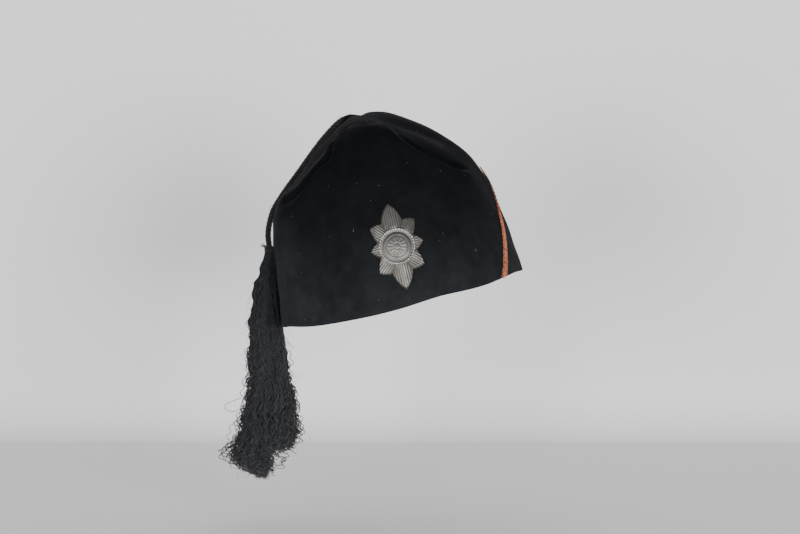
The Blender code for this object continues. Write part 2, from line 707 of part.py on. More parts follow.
def main():
    clear_scene()
    felt = material("black_felt", (0.010, 0.011, 0.012), 0.95)
    yarn = material("black_wool_yarn", (0.020, 0.020, 0.021), 0.95)
    metal = material("dull_white_metal", (0.46, 0.45, 0.44), 0.42, 1.0)
    ribbon = material("orange_ribbon", (0.43, 0.13, 0.055), 0.85)

    worn = bpy.data.objects.new("worn_slant", None)
    bpy.context.scene.collection.objects.link(worn)
    worn.rotation_euler = (0.0, -WORN_ROLL, 0.0)

    crown = add_object("crown", crown_mesh(), felt, worn)
    add_object("crown_button", button_mesh(), felt, worn)
    add_object("side_chevron", chevron_mesh(), ribbon, worn)
    badge = add_object("badge", badge_mesh(), metal, worn)
    for name, above in (("upper", PRONG_SPACING / 2), ("lower", -PRONG_SPACING / 2)):
        prong = add_object(f"{name}_prong", prong_solid(f"{name}_prong", above, 0.0), metal, worn)
        slot = add_object(f"{name}_slot", prong_solid(f"{name}_slot", above, SLOT_GAP), felt, worn)
        add_boolean(badge, prong, "UNION")
        add_boolean(crown, slot, "DIFFERENCE")

    add_object("tassel_binding", binding_mesh(), yarn)
    add_object("tassel_skirt", skirt_mesh(), yarn)
    cord_object(yarn)


main()
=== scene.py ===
"""The looks of a soft black felt fez, worn at a slant: napped felt with its folds, a twisted cord,
a tassel of crimped yarn, a stamped metal badge and a ribbon chevron.

Metres, +Z up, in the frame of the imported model. The wearer faces -Y and the wearer's left is +X.
The crown is worked out upright, with its rim level, and then rolled about Y to its worn slant.
"""

from math import atan2, cos, hypot, pi, radians, sin

import bpy
import numpy as np
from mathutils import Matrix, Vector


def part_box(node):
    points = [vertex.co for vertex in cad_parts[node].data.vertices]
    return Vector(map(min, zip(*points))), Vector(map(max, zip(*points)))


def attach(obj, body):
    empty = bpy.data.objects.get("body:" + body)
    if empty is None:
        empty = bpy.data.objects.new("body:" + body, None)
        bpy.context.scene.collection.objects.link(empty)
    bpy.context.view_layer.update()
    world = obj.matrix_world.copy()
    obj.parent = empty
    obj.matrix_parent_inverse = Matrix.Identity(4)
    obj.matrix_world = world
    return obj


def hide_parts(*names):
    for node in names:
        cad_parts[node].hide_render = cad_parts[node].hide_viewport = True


bl_info = {
    "name": "Felt fez",
    "version": (1, 0, 0),
    "blender": (4, 5, 0),
    "location": "3D View > Sidebar > Fez",
    "description": "Builds the visible pieces of a worn felt fez around its fixed frame",
    "category": "Add Mesh",
}

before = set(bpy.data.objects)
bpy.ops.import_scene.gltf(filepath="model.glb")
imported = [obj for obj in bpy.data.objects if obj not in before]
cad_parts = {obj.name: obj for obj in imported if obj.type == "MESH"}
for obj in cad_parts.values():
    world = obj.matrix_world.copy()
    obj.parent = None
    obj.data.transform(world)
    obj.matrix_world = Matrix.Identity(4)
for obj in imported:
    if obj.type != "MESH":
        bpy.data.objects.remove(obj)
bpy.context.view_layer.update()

# Sizes that the frame's own pieces were made with
RIM_HALF_WIDTH = 0.0800
RIM_HALF_LENGTH = 0.0980
CROWN_HEIGHT = 0.1250
FELT = 0.0022
WORN_ROLL = radians(13.2)
CREST_ROUNDING = 0.15
FOLD_RISE = 0.0024
FOLD_DIP = 0.0048
FOLD_WIDTH = 0.0065
DIP_REACH = 0.65
RIM_WAVE = 0.0020
RIM_WAVE_REACH = 0.25
DENT_DEPTH = 0.0020
NOTCH_DEPTH = 0.0029
NOTCH_HALF_WIDTH = 0.0037
NOTCH_HALF_LENGTH = 0.0180
SEAT_GAP = 0.0004
BUTTON_SHIFT = 0.0062
BUTTON_BACK = 0.0010
BADGE_X = 0.0052
BADGE_Z = 0.0370
PRONG_SPACING = 0.0240
PRONG_WIDTH = 0.0030
PRONG_THICKNESS = 0.0008
PRONG_LEG = 0.0070
CHEVRON_FORWARD = 0.0560
CHEVRON_APEX = 0.0680
CHEVRON_HEM = 0.0012
CORD_DIAMETER = 0.0040

# The camera that fits the photograph: an 85 mm lens on a 36 mm wide sensor
LENS = 85.0
CAMERA_DISTANCE = 1.231
CAMERA_RISE = radians(2.5)
CAMERA_AIM = (-0.0016, 0.0, 0.0210)

# Rings of the crown. Widths are shares of RIM_HALF_WIDTH, lengths of RIM_HALF_LENGTH and
# heights of CROWN_HEIGHT. The height of a ring differs at its sides and its ends.
CROWN_RINGS = (
    # name, right, right_up, left, left_up, front, front_up, back, back_up
    ("rim", 1.005, 0.000, 1.000, 0.000, 1.000, 0.000, 1.000, 0.000),
    ("hem", 0.991, 0.113, 0.980, 0.113, 0.965, 0.150, 0.975, 0.145),
    ("lower", 0.974, 0.230, 0.958, 0.230, 0.915, 0.330, 0.940, 0.306),
    ("middle", 0.948, 0.355, 0.933, 0.351, 0.837, 0.508, 0.880, 0.468),
    ("upper", 0.910, 0.468, 0.909, 0.468, 0.725, 0.694, 0.786, 0.630),
    ("shoulder", 0.850, 0.578, 0.852, 0.580, 0.551, 0.867, 0.643, 0.782),
    ("edge", 0.780, 0.670, 0.745, 0.655, 0.439, 0.919, 0.510, 0.863),
    ("slope", 0.646, 0.767, 0.592, 0.742, 0.352, 0.948, 0.393, 0.919),
    ("brow", 0.456, 0.876, 0.395, 0.848, 0.255, 0.969, 0.265, 0.964),
    ("cap", 0.228, 0.963, 0.196, 0.935, 0.131, 0.990, 0.133, 0.991),
    ("apex", 0.000, 1.000, 0.000, 1.000, 0.000, 1.000, 0.000, 1.000),
)

# Folds along lines on the crown, from low azimuth to high. Azimuth is in degrees, 180 at the
# wearer's right and 270 at the front, and up is the share of the way from rim to apex. Edge is
# how round the ridge is, in metres. The others are shares of FOLD_RISE, FOLD_DIP, FOLD_WIDTH.
FOLDS = {
    "front_crest": (
        # azimuth, up, rise, dip, width, edge
        (196.0, 0.480, 0.0, 0.0, 0.7, 0.0028),
        (206.0, 0.472, 0.5, 0.0, 0.6, 0.0030),
        (214.0, 0.467, 0.8, 0.1, 0.5, 0.0030),
        (222.0, 0.460, 0.6, 0.2, 0.4, 0.0030),
        (228.5, 0.467, 0.5, 0.3, 0.4, 0.0034),
        (234.5, 0.480, 0.5, 0.4, 0.35, 0.0034),
        (240.5, 0.494, 0.5, 0.4, 0.35, 0.0032),
        (246.0, 0.489, 0.5, 0.4, 0.35, 0.0032),
        (250.0, 0.487, 0.5, 0.4, 0.35, 0.0030),
        (252.3, 0.503, 0.5, 0.4, 0.35, 0.0030),
        (254.0, 0.545, 0.5, 0.3, 0.5, 0.0032),
        (256.7, 0.606, 0.6, 0.4, 0.7, 0.0030),
        (260.0, 0.624, 0.5, 0.2, 0.8, 0.0036),
        (264.0, 0.598, 0.4, 0.1, 0.8, 0.0040),
        (269.0, 0.562, 0.4, 0.0, 0.8, 0.0040),
        (273.5, 0.553, 0.4, 0.0, 0.8, 0.0040),
        (278.0, 0.574, 0.5, 0.1, 0.8, 0.0032),
        (281.5, 0.602, 0.5, 0.1, 0.8, 0.0028),
        (284.0, 0.590, 0.7, 0.2, 0.8, 0.0022),
        (285.2, 0.535, 0.8, 0.2, 0.7, 0.0018),
        (288.0, 0.500, 0.8, 0.3, 0.7, 0.0016),
        (292.2, 0.482, 0.8, 0.4, 0.6, 0.0014),
        (297.8, 0.466, 0.8, 0.5, 0.6, 0.0012),
        (303.2, 0.458, 0.9, 0.7, 0.6, 0.0010),
        (309.0, 0.450, 0.9, 0.8, 0.6, 0.0010),
        (315.5, 0.440, 0.9, 0.9, 0.6, 0.0008),
        (321.2, 0.438, 0.7, 0.6, 0.6, 0.0010),
        (326.5, 0.443, 0.3, 0.2, 0.6, 0.0012),
        (331.0, 0.446, 0.0, 0.0, 0.6, 0.0012),
    ),
    "left_roll": (
        (188.0, 0.540, 0.0, 0.0, 0.6, 0.0026),
        (201.0, 0.524, 0.5, 0.0, 0.6, 0.0026),
        (210.5, 0.520, 0.8, 0.0, 0.6, 0.0024),
        (217.0, 0.518, 0.6, 0.0, 0.5, 0.0024),
        (226.0, 0.518, 0.6, 0.0, 0.5, 0.0022),
        (232.0, 0.530, 0.6, 0.0, 0.5, 0.0022),
        (237.5, 0.538, 0.6, 0.0, 0.5, 0.0022),
        (242.0, 0.536, 0.6, 0.0, 0.5, 0.0020),
        (245.5, 0.546, 0.6, 0.0, 0.5, 0.0020),
        (247.2, 0.580, 0.6, 0.0, 0.5, 0.0020),
        (247.2, 0.640, 0.6, 0.0, 0.5, 0.0022),
        (245.0, 0.700, 0.0, 0.0, 0.5, 0.0024),
    ),
}
FOLD_STEPS = 64

# Shallow dents: centre and reach in degrees of azimuth and shares of the way up, and depth
# as a share of DENT_DEPTH, where a rise is below zero.
DENTS = (
    # name, azimuth, up, reach_around, reach_up, depth
    ("right_of_badge", 308.0, 0.300, 12.0, 0.110, 0.7),
    ("left_of_badge", 238.0, 0.260, 14.0, 0.120, 0.5),
    ("right_wall", 345.0, 0.300, 15.0, 0.120, 0.4),
    ("crown_right", 318.0, 0.700, 20.0, 0.090, 1.0),
    ("crown_left", 225.0, 0.680, 20.0, 0.090, 0.9),
    ("back_dip", 92.0, 0.560, 26.0, 0.080, 1.0),
    ("back_swell", 95.0, 0.300, 32.0, 0.150, -0.8),
    ("right_crease", 309.3, 0.318, 2.5, 0.045, 0.2),
    ("cord_seat", 178.0, 0.860, 24.0, 0.110, -1.1),
    ("left_swell", 192.0, 0.585, 17.0, 0.075, -1.1),
)

# Where the rim rises a little: azimuth and reach in degrees, and a share of RIM_WAVE
RIM_WAVES = (
    # name, azimuth, reach, rise
    ("front_left", 204.0, 16.0, 0.8),
    ("front_right", 289.0, 17.0, 1.1),
    ("right", 334.0, 22.0, 1.3),
    ("back", 95.0, 35.0, 0.9),
)

# The cut edge of the felt, from its inner corner to its outer one
RIM_EDGE = (
    # lift as a share of the felt, up as a share of the felt
    (-1.00, 0.30),
    (-0.94, 0.10),
    (-0.78, 0.01),
    (-0.50, 0.00),
    (-0.22, 0.01),
    (-0.06, 0.10),
    (0.00, 0.30),
)

# The cord's middle line in metres, from inside the nub down into the tassel's binding
CORD_ROUTE = (
    # x, y, z
    (-0.0352, 0.0010, 0.1187),
    (-0.0388, 0.0014, 0.1172),
    (-0.0424, 0.0024, 0.1143),
    (-0.0466, 0.0042, 0.1102),
    (-0.0510, 0.0062, 0.1054),
    (-0.0553, 0.0076, 0.1001),
    (-0.0594, 0.0086, 0.0947),
    (-0.0633, 0.0092, 0.0893),
    (-0.0671, 0.0096, 0.0839),
    (-0.0707, 0.0096, 0.0790),
    (-0.0740, 0.0094, 0.0745),
    (-0.0771, 0.0090, 0.0701),
    (-0.0800, 0.0086, 0.0657),
    (-0.0826, 0.0081, 0.0616),
    (-0.0849, 0.0076, 0.0570),
    (-0.0864, 0.0071, 0.0520),
    (-0.0875, 0.0067, 0.0470),
    (-0.0880, 0.0064, 0.0420),
    (-0.0877, 0.0061, 0.0384),
    (-0.0873, 0.0060, 0.0345),
)

# The middle of the tassel's top, its length, and half its greatest width
TASSEL_TOP = (-0.0873, 0.0060, 0.0300)
TASSEL_LENGTH = 0.1450
TASSEL_HALF_WIDTH = 0.0210

# Points along a strand of yarn and along a loose fibre, and a direction that neither follows
STRAND_STEPS = 124
FIBRE_STEPS = 7
SKEW = (0.3, 1.0, 0.2)

# Half the thickness of each kind of loose thread
CORD_FIBRE = 0.00004
YARN_FIBRE = 0.00005
TUFT_END = 0.00020
LOOP_YARN = 0.00018
SEWING_THREAD = 0.00019
FRAYED_THREAD = 0.00012
COARSE_LINT = 0.00008
FINE_LINT = 0.00005

# The tassel's three locks. Drop is a share of TASSEL_LENGTH below TASSEL_TOP. Left and right are
# how far the lock reaches either way from a plumb line through TASSEL_TOP and depth is half its
# thickness, as shares of TASSEL_HALF_WIDTH.
TASSEL_LOCKS = {
    "left": (
        # drop, left, right, depth
        (-0.020, 0.100, 0.080, 0.10),
        (0.010, 0.140, 0.120, 0.14),
        (0.072, 0.289, 0.120, 0.24),
        (0.112, 0.345, 0.100, 0.30),
        (0.135, 0.469, 0.080, 0.36),
        (0.189, 0.478, 0.090, 0.38),
        (0.247, 0.531, 0.100, 0.40),
        (0.301, 0.609, 0.120, 0.42),
        (0.427, 0.624, 0.180, 0.48),
        (0.616, 0.624, 0.200, 0.52),
        (0.665, 0.733, 0.190, 0.58),
        (0.764, 0.904, 0.180, 0.68),
        (0.827, 0.966, 0.160, 0.72),
        (0.886, 1.121, 0.130, 0.74),
        (0.931, 1.167, 0.137, 0.70),
        (0.976, 0.888, 0.043, 0.55),
        (1.007, 0.422, -0.081, 0.30),
    ),
    "right": (
        (-0.020, 0.060, 0.100, 0.10),
        (0.010, 0.090, 0.200, 0.14),
        (0.072, 0.143, 0.240, 0.22),
        (0.135, 0.205, 0.270, 0.34),
        (0.247, 0.205, 0.314, 0.38),
        (0.355, 0.174, 0.370, 0.42),
        (0.427, 0.143, 0.463, 0.46),
        (0.549, 0.081, 0.540, 0.50),
        (0.616, 0.050, 0.525, 0.50),
        (0.665, 0.019, 0.478, 0.50),
        (0.710, -0.012, 0.432, 0.48),
        (0.764, -0.043, 0.509, 0.52),
        (0.827, -0.075, 0.633, 0.56),
        (0.886, -0.090, 0.571, 0.46),
        (0.915, -0.106, 0.478, 0.36),
    ),
    "wisp": (
        (-0.020, -0.040, 0.090, 0.06),
        (0.072, -0.120, 0.193, 0.10),
        (0.247, -0.230, 0.323, 0.14),
        (0.427, -0.385, 0.478, 0.16),
        (0.549, -0.463, 0.571, 0.16),
        (0.616, -0.525, 0.649, 0.16),
        (0.665, -0.500, 0.773, 0.16),
        (0.701, -0.540, 0.851, 0.18),
        (0.737, -0.480, 0.773, 0.20),
        (0.773, -0.520, 0.820, 0.22),
        (0.827, -0.480, 0.851, 0.24),
        (0.886, -0.540, 0.696, 0.20),
    ),
}

# Share of the strands in each lock, how many clumps they hang in, how far they stray as a
# share of the lock's half width, and the drops between which they end
LOCK_STRANDS = (
    # lock, share, clumps, stray, first_end, last_end
    ("left", 0.58, 11, 0.40, 0.90, 1.03),
    ("right", 0.30, 7, 0.62, 0.84, 0.93),
    ("wisp", 0.12, 5, 1.10, 0.78, 0.90),
)

# A strand that hangs out of the tassel in a loop, in metres
LOOSE_LOOP = (
    # x, y, z
    (-0.1050, -0.0030, -0.0640),
    (-0.1110, -0.0040, -0.0665),
    (-0.1148, -0.0045, -0.0682),
    (-0.1152, -0.0045, -0.0712),
    (-0.1110, -0.0040, -0.0732),
    (-0.1045, -0.0030, -0.0715),
)

# Where each arm of the ribbon has worn: along goes from 0 at its foot to 1 at the apex,
# width is a share of the ribbon's width, and soil is how much of its colour the dirt hides
RIBBON_WEAR = (
    # along, width, soil
    (0.00, 0.74, 0.10),
    (0.05, 0.66, 0.05),
    (0.30, 0.72, 0.00),
    (0.50, 0.70, 0.00),
    (0.58, 0.60, 0.05),
    (0.65, 0.40, 0.15),
    (0.75, 0.30, 0.25),
    (0.83, 0.30, 0.40),
    (0.86, 0.40, 0.95),
    (0.93, 0.45, 0.95),
    (0.95, 0.70, 0.20),
    (1.00, 0.85, 0.15),
)

# How much painted bounce light from below pales the felt on its way up, palest at the rim
HEM_BOUNCE_LIGHT = (
    # up, painted light
    (0.00, 1.00),
    (0.12, 0.62),
    (0.32, 0.22),
    (0.50, 0.08),
    (1.00, 0.00),
)

# Bits of lint on the front: azimuth in degrees, up, and length in metres
LINT = (
    # azimuth, up, length
    (256.0, 0.258, 0.0013),
    (311.0, 0.147, 0.0014),
    (305.5, 0.420, 0.0008),
    (272.0, 0.352, 0.0008),
    (288.3, 0.423, 0.0008),
    (267.0, 0.320, 0.0007),
)


def linear(code):
    """The linear colour of an sRGB hex value."""
    srgb = [int(code[i : i + 2], 16) / 255 for i in (0, 2, 4)]
    return tuple(v / 12.92 if v <= 0.04045 else ((v + 0.055) / 1.055) ** 2.4 for v in srgb)


def colour(name, description, code):
    return bpy.props.FloatVectorProperty(
        name=name, description=description, default=linear(code), subtype="COLOR", min=0.0, max=1.0
    )


def length(name, description, default):
    return bpy.props.FloatProperty(
        name=name, description=description, default=default, unit="LENGTH", precision=5, min=0.0
    )


def count(name, description, default):
    return bpy.props.IntProperty(name=name, description=description, default=default, min=1)


class CrownSettings(bpy.types.PropertyGroup):
    felt_colour: colour("Felt", "Dyed wool felt seen face on", "050608")
    # Paler felt for the painted bounce light from below near the rim, and low on the wearer's right
    # partly for painted light from the left lamp and partly for handling wear
    hem_colour: colour("Hem", "The felt where handling and dust have greyed it", "1F2123")
    sheen_colour: colour("Nap", "Colour of the nap where it catches the light", "A9AEB6")
    lint_colour: colour("Lint", "Bits of fluff caught in the nap", "737372")
    around: count("Columns", "Columns of the felt's grid round the crown", 360)
    rows: count("Rows", "Rows of the outer wall's grid", 130)
    lump: length("Lumps", "How far hand blocking leaves the felt uneven", 0.00022)
    nub_radius: length("Nub radius", "Half the width of the nub beside the apex", 0.0085)
    nub_rise: length("Nub rise", "How far the nub stands above the felt", 0.0027)


class CordSettings(bpy.types.PropertyGroup):
    yarn_colour: colour("Yarn", "Black wool yarn, a little faded", "1D1E20")
    plies: count("Plies", "Strands twisted into the cord", 3)
    lay: length("Lay", "Length of one turn of the cord's twist", 0.0085)
    binding_turns: count("Binding turns", "Turns of yarn round the tassel's neck", 5)
    fibres: count("Fibres", "Loose fibres that stand off the cord", 160)


class TasselSettings(bpy.types.PropertyGroup):
    yarn_colour: colour("Yarn", "Black crimped wool yarn, a little faded", "24272B")
    strands: count("Strands", "Strands of yarn in the tassel", 780)
    yarn_radius: length("Yarn radius", "Half the thickness of one strand", 0.00030)
    crimp: length("Crimp", "How far a strand's kinks stand out", 0.00125)
    crimp_length: length("Crimp length", "Length of one kink near the top", 0.0085)
    fibres: count("Fibres", "Loose fibres that stand off the yarn", 1200)


class BadgeSettings(bpy.types.PropertyGroup):
    metal_colour: colour("Metal", "Stamped grey metal where it is rubbed clean", "9C9A96")
    tarnish_colour: colour("Tarnish", "The film left in the hollows", "4A4844")
    half_height: length("Half height", "From the middle to the upper point", 0.0265)
    half_width: length("Half width", "From the middle to a side point", 0.0165)
    plate: length("Plate", "Thickness of the plate", 0.0011)
    boss_radius: length("Boss radius", "Half the width of the domed boss", 0.0088)
    boss_rise: length("Boss rise", "Height of the dome", 0.0019)
    rays: count("Rays", "Points of the plate", 8)
    beads: count("Beads", "Beads in the ring round the boss", 36)


class RibbonSettings(bpy.types.PropertyGroup):
    ribbon_colour: colour("Ribbon", "Ribbed ribbon, faded orange", "C4714F")
    # Dark sewing thread, which along the ribbon's edges also stands in for painted shade beside its
    # raised edges
    thread_colour: colour("Thread", "Sewing thread along its edges", "1C1A1A")
    width: length("Width", "Width of the ribbon", 0.0066)
    thickness: length("Thickness", "Thickness of the ribbon", 0.0006)
    rib: length("Rib", "Distance from one rib of the weave to the next", 0.0009)
    stitch: length("Stitch", "Length of one stitch and the space after it", 0.0034)


class StageSettings(bpy.types.PropertyGroup):
    paper_colour: colour("Paper", "Plain pale paper under and behind the hat", "F6F4F4")
    floor_drop: length("Floor drop", "How far below the head opening the floor lies", 0.1460)


SETTINGS = {
    "fez_crown": CrownSettings,
    "fez_cord": CordSettings,
    "fez_tassel": TasselSettings,
    "fez_badge": BadgeSettings,
    "fez_ribbon": RibbonSettings,
    "fez_stage": StageSettings,
}


def through(values, place):
    """A smooth curve through equally spaced values, read at place from 0 to 1: cubic pieces
    whose slope at each value is half the step from the value before to the value after."""
    values = np.asarray(values, float)
    last = len(values) - 1
    at = np.clip(place, 0.0, 1.0) * last
    i = np.minimum(at.astype(int), last - 1)
    f = at - i
    before = np.where(i > 0, values[np.maximum(i - 1, 0)], 2 * values[0] - values[1])
    after = np.where(i < last - 1, values[np.minimum(i + 2, last)], 2 * values[-1] - values[-2])
    start, end = values[i], values[i + 1]
    leave, arrive = (end - before) / 2, (after - start) / 2
    from_start = (1 + 2 * f) * (1 - f) ** 2
    from_end = f * f * (3 - 2 * f)
    return from_start * start + from_end * end + f * (1 - f) ** 2 * leave - f * f * (1 - f) * arrive


def curve(rows, place):
    """The points of a smooth curve through a table's rows."""
    return np.stack([through(column, place) for column in zip(*rows)], axis=-1)


def together(first, second):
    """Two numbers or arrays as arrays of one shape."""
    return np.broadcast_arrays(np.asarray(first, float), np.asarray(second, float))


def bump(distance):
    """One at the middle, falling as a bell curve."""
    return np.exp(-(distance**2))


def turn_between(azimuth, centre):
    """The angle from centre to azimuth, the short way round."""
    return (azimuth - centre + pi) % (2 * pi) - pi


def crown_base(azimuth, up):
    """The crown without its folds, upright: X and Y go round an oval whose half width and half
    length change smoothly from side to side, and the height goes from that of the sides to
    that of the ends with a rounded peak."""
    azimuth, up = together(azimuth, up)
    rings = np.moveaxis(curve([ring[1:] for ring in CROWN_RINGS], up), -1, 0)
    right, right_up, left, left_up, front, front_up, back, back_up = rings
    across, along = np.cos(azimuth), np.sin(azimuth)
    half_width = RIM_HALF_WIDTH * ((right + left) / 2 + (right - left) / 2 * across)
    half_length = RIM_HALF_LENGTH * ((back + front) / 2 + (back - front) / 2 * along)
    side_up = (right_up + left_up) / 2 + (right_up - left_up) / 2 * across
    end_up = (back_up + front_up) / 2 + (back_up - front_up) / 2 * along
    widest = hypot(1.0, CREST_ROUNDING)
    to_end = (widest - np.hypot(across, CREST_ROUNDING)) / (widest - CREST_ROUNDING)
    height = CROWN_HEIGHT * (side_up * (1 - to_end) + end_up * to_end)
    for _, centre, reach, rise in RIM_WAVES:
        near = bump(turn_between(azimuth, radians(centre)) / radians(reach))
        fade = np.clip(1 - up / RIM_WAVE_REACH, 0, 1) ** 2
        height = height + RIM_WAVE * rise * near * fade
    return np.stack([half_width * across, half_length * along, height], axis=-1)


def crown_normal(azimuth, up):
    """The outward direction of the crown without its folds: the cross product of its slopes
    round and up."""
    azimuth, up = together(azimuth, up)
    step = 0.002
    inside = np.clip(up, step, 1 - 4 * step)
    around = crown_base(azimuth + step, inside) - crown_base(azimuth - step, inside)
    rise = crown_base(azimuth, inside + step) - crown_base(azimuth, inside - step)
    out = np.cross(around, rise)
    return out / np.linalg.norm(out, axis=-1, keepdims=True)


def fold_line(rows):
    """The columns of a fold's rows, each read along one smooth curve."""
    return curve(rows, np.linspace(0.0, 1.0, FOLD_STEPS)).T


def fold_lift(azimuth, up):
    """How far the folds raise the felt at each of a row of places. Each fold is a ridge that
    falls off exponentially from its line, and a bell-shaped dip one width away from it, on
    the side of the apex."""
    place = crown_base(azimuth, up)[:, None, :]
    lift = np.zeros(len(azimuth))
    for rows in FOLDS.values():
        line_azimuth, line_up, *shares = fold_line(rows)
        line_azimuth = np.radians(line_azimuth)
        line = crown_base(line_azimuth, line_up)
        start, run = line[:-1], np.diff(line, axis=0)
        along = np.clip(((place - start) * run).sum(-1) / (run * run).sum(-1), 0.0, 1.0)
        apart = np.linalg.norm(place - start - along[..., None] * run, axis=-1)
        nearest = apart.argmin(axis=1)
        each = np.arange(len(nearest))
        part, distance = along[each, nearest], apart[each, nearest]
        to_azimuth = turn_between(azimuth, line_azimuth[nearest])
        to_up = up - line_up[nearest]
        run_azimuth, run_up = np.diff(line_azimuth)[nearest], np.diff(line_up)[nearest]
        apex_side = run_azimuth * to_up - run_up * to_azimuth > 0
        signed = np.where(apex_side, distance, -distance)
        rise, dip, width, edge = (
            column[nearest] * (1 - part) + column[nearest + 1] * part for column in shares
        )
        reach = FOLD_WIDTH * width
        ridge = np.exp(-(np.hypot(signed, edge) - edge) / reach)
        valley = bump((signed - reach) / (DIP_REACH * reach))
        lift += FOLD_RISE * rise * ridge - FOLD_DIP * dip * valley
    return lift


def dent_lift(azimuth, up):
    """How far the shallow dents and the pinch at the apex lower the felt: a bell curve for
    each."""
    lift = np.zeros(np.shape(azimuth))
    for _, centre, centre_up, reach_around, reach_up, depth in DENTS:
        around = turn_between(azimuth, radians(centre)) / radians(reach_around)
        above = (up - centre_up) / reach_up
        lift -= DENT_DEPTH * depth * bump(np.hypot(around, above))
    place = crown_base(azimuth, up)
    pinch = bump(np.hypot(place[..., 0] / NOTCH_HALF_WIDTH, place[..., 1] / NOTCH_HALF_LENGTH))
    return lift - NOTCH_DEPTH * pinch


def crown_at(azimuth, up, lift=0.0):
    """A point of the folded crown, lift above its outer face."""
    azimuth, up = together(azimuth, up)
    flat_azimuth, flat_up = azimuth.ravel(), up.ravel()
    rise = fold_lift(flat_azimuth, flat_up) + dent_lift(flat_azimuth, flat_up)
    rise = rise.reshape(azimuth.shape) + lift
    return crown_base(azimuth, up) + crown_normal(azimuth, up) * rise[..., None]


def crown_place(axis, across, height, azimuth):
    """The azimuth and up at which the crown has the given X or Y (axis 0 or 1) and height,
    found by Newton steps from a first azimuth."""
    across, height = together(across, height)
    azimuth = np.full(across.shape, azimuth)
    up = 0.8 * height / CROWN_HEIGHT
    step, newton_steps = 1e-4, 12
    for _ in range(newton_steps):
        here = crown_base(azimuth, up)
        turned = (crown_base(azimuth + step, up) - here) / step
        raised = (crown_base(azimuth, up + step) - here) / step
        miss_across = across - here[..., axis]
        miss_height = height - here[..., 2]
        scale = turned[..., axis] * raised[..., 2] - turned[..., 2] * raised[..., axis]
        turn = (miss_across * raised[..., 2] - miss_height * raised[..., axis]) / scale
        climb = (turned[..., axis] * miss_height - turned[..., 2] * miss_across) / scale
        azimuth = azimuth + turn
        up = np.clip(up + climb, step, 1 - step)
    return azimuth, up


def rim_height(forward):
    """How high the rim lies on the wearer's left side, at the given Y."""
    return crown_base(np.arcsin(forward / RIM_HALF_LENGTH), 0.0)[..., 2]


def crest_up(azimuth):
    """How far up the front crest's line lies at an azimuth, and level round the back."""
    line_azimuth, line_up, *_ = fold_line(FOLDS["front_crest"])
    first = line_azimuth[0]
    turned = (np.degrees(azimuth) - first) % 360
    ends = np.append(line_azimuth - first, 360.0)
    return np.interp(turned, ends, np.append(line_up, line_up[0]))


def to_world(point):
    """The place of an upright point once the crown is rolled to its worn slant."""
    x, y, z = (point[..., i] for i in range(3))
    rolled_x = x * cos(WORN_ROLL) - z * sin(WORN_ROLL)
    rolled_z = x * sin(WORN_ROLL) + z * cos(WORN_ROLL)
    return np.stack([rolled_x, y, rolled_z], axis=-1)


def grid_faces(rows, columns, wrap=True, flip=False):
    """Quads between neighbouring points of a grid, all at once: each is a point, the next in
    its row, and the two above them."""
    i = np.arange(rows - 1)[:, None]
    j = np.arange(columns if wrap else columns - 1)[None, :]
    k = (j + 1) % columns
    low, high = i * columns, (i + 1) * columns
    quads = np.stack([low + j, low + k, high + k, high + j], axis=-1)
    return (quads[..., ::-1] if flip else quads).reshape(-1, 4)


def closed_faces(rows, columns, flip=False):
    """The faces of a grid whose rows are rings, and a fan of triangles from its first ring to
    the point after the grid, and from its last ring to the one after that."""
    ring = np.arange(columns)
    ahead = np.roll(ring, -1)
    pole = np.full(columns, rows * columns)
    high = (rows - 1) * columns
    first = np.stack([pole, ahead, ring], axis=-1)
    last = np.stack([ring + high, ahead + high, pole + 1], axis=-1)
    fans = np.concatenate([first, last])
    return [grid_faces(rows, columns, flip=flip), fans[:, ::-1] if flip else fans]


def closed_grid(points, poles=None, flip=False):
    """A grid whose rows are rings with a pole at either end, which is the ring's middle unless
    it is given. Returns the points and the groups of faces."""
    if poles is None:
        poles = np.stack([points[0].mean(axis=0), points[-1].mean(axis=0)])
    faces = closed_faces(*points.shape[:2], flip)
    return np.concatenate([points.reshape(-1, 3), poles]), faces


def add_object(name, data):
    """Adds an object to the scene, at the origin."""
    made = bpy.data.objects.new(name, data)
    bpy.context.scene.collection.objects.link(made)
    return made


def add_piece(name, replaced, slot, look, points, faces, uv=None, marks=None):
    """A mesh object that rides on the root body and replaces a piece of the frame, from points
    and groups of equal faces. uv gives each point its place in the piece's UV map and marks
    gives it named numbers. slot is not used."""
    mesh = bpy.data.meshes.new(name)
    corners = np.concatenate([group.ravel() for group in faces]).astype(np.int32)
    sizes = np.concatenate([np.full(len(group), group.shape[1]) for group in faces])
    starts = np.concatenate([[0], np.cumsum(sizes)[:-1]]).astype(np.int32)
    mesh.vertices.add(len(points))
    mesh.vertices.foreach_set("co", np.asarray(points, np.float32).ravel())
    mesh.loops.add(len(corners))
    mesh.loops.foreach_set("vertex_index", corners)
    mesh.polygons.add(len(sizes))
    mesh.polygons.foreach_set("loop_start", starts)
    mesh.update(calc_edges=True)
    if uv is not None:
        layer = mesh.uv_layers.new(name="UVMap")
        layer.data.foreach_set("uv", np.asarray(uv, np.float32)[corners].ravel())
    for mark, values in (marks or {}).items():
        attribute = mesh.attributes.new(mark, "FLOAT", "POINT")
        attribute.data.foreach_set("value", np.asarray(values, np.float32).ravel())
    mesh.validate()
    mesh.shade_smooth()
    mesh.materials.append(look)
    piece = add_object(name, mesh)
    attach(piece, "root")
    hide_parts(replaced)
    return piece


def unit(vectors):
    return vectors / np.linalg.norm(vectors, axis=-1, keepdims=True)


def squared(wave, power):
    """A wave between -1 and 1 with its tops flattened: its size to a power below one."""
    return np.sign(wave) * np.abs(wave) ** power


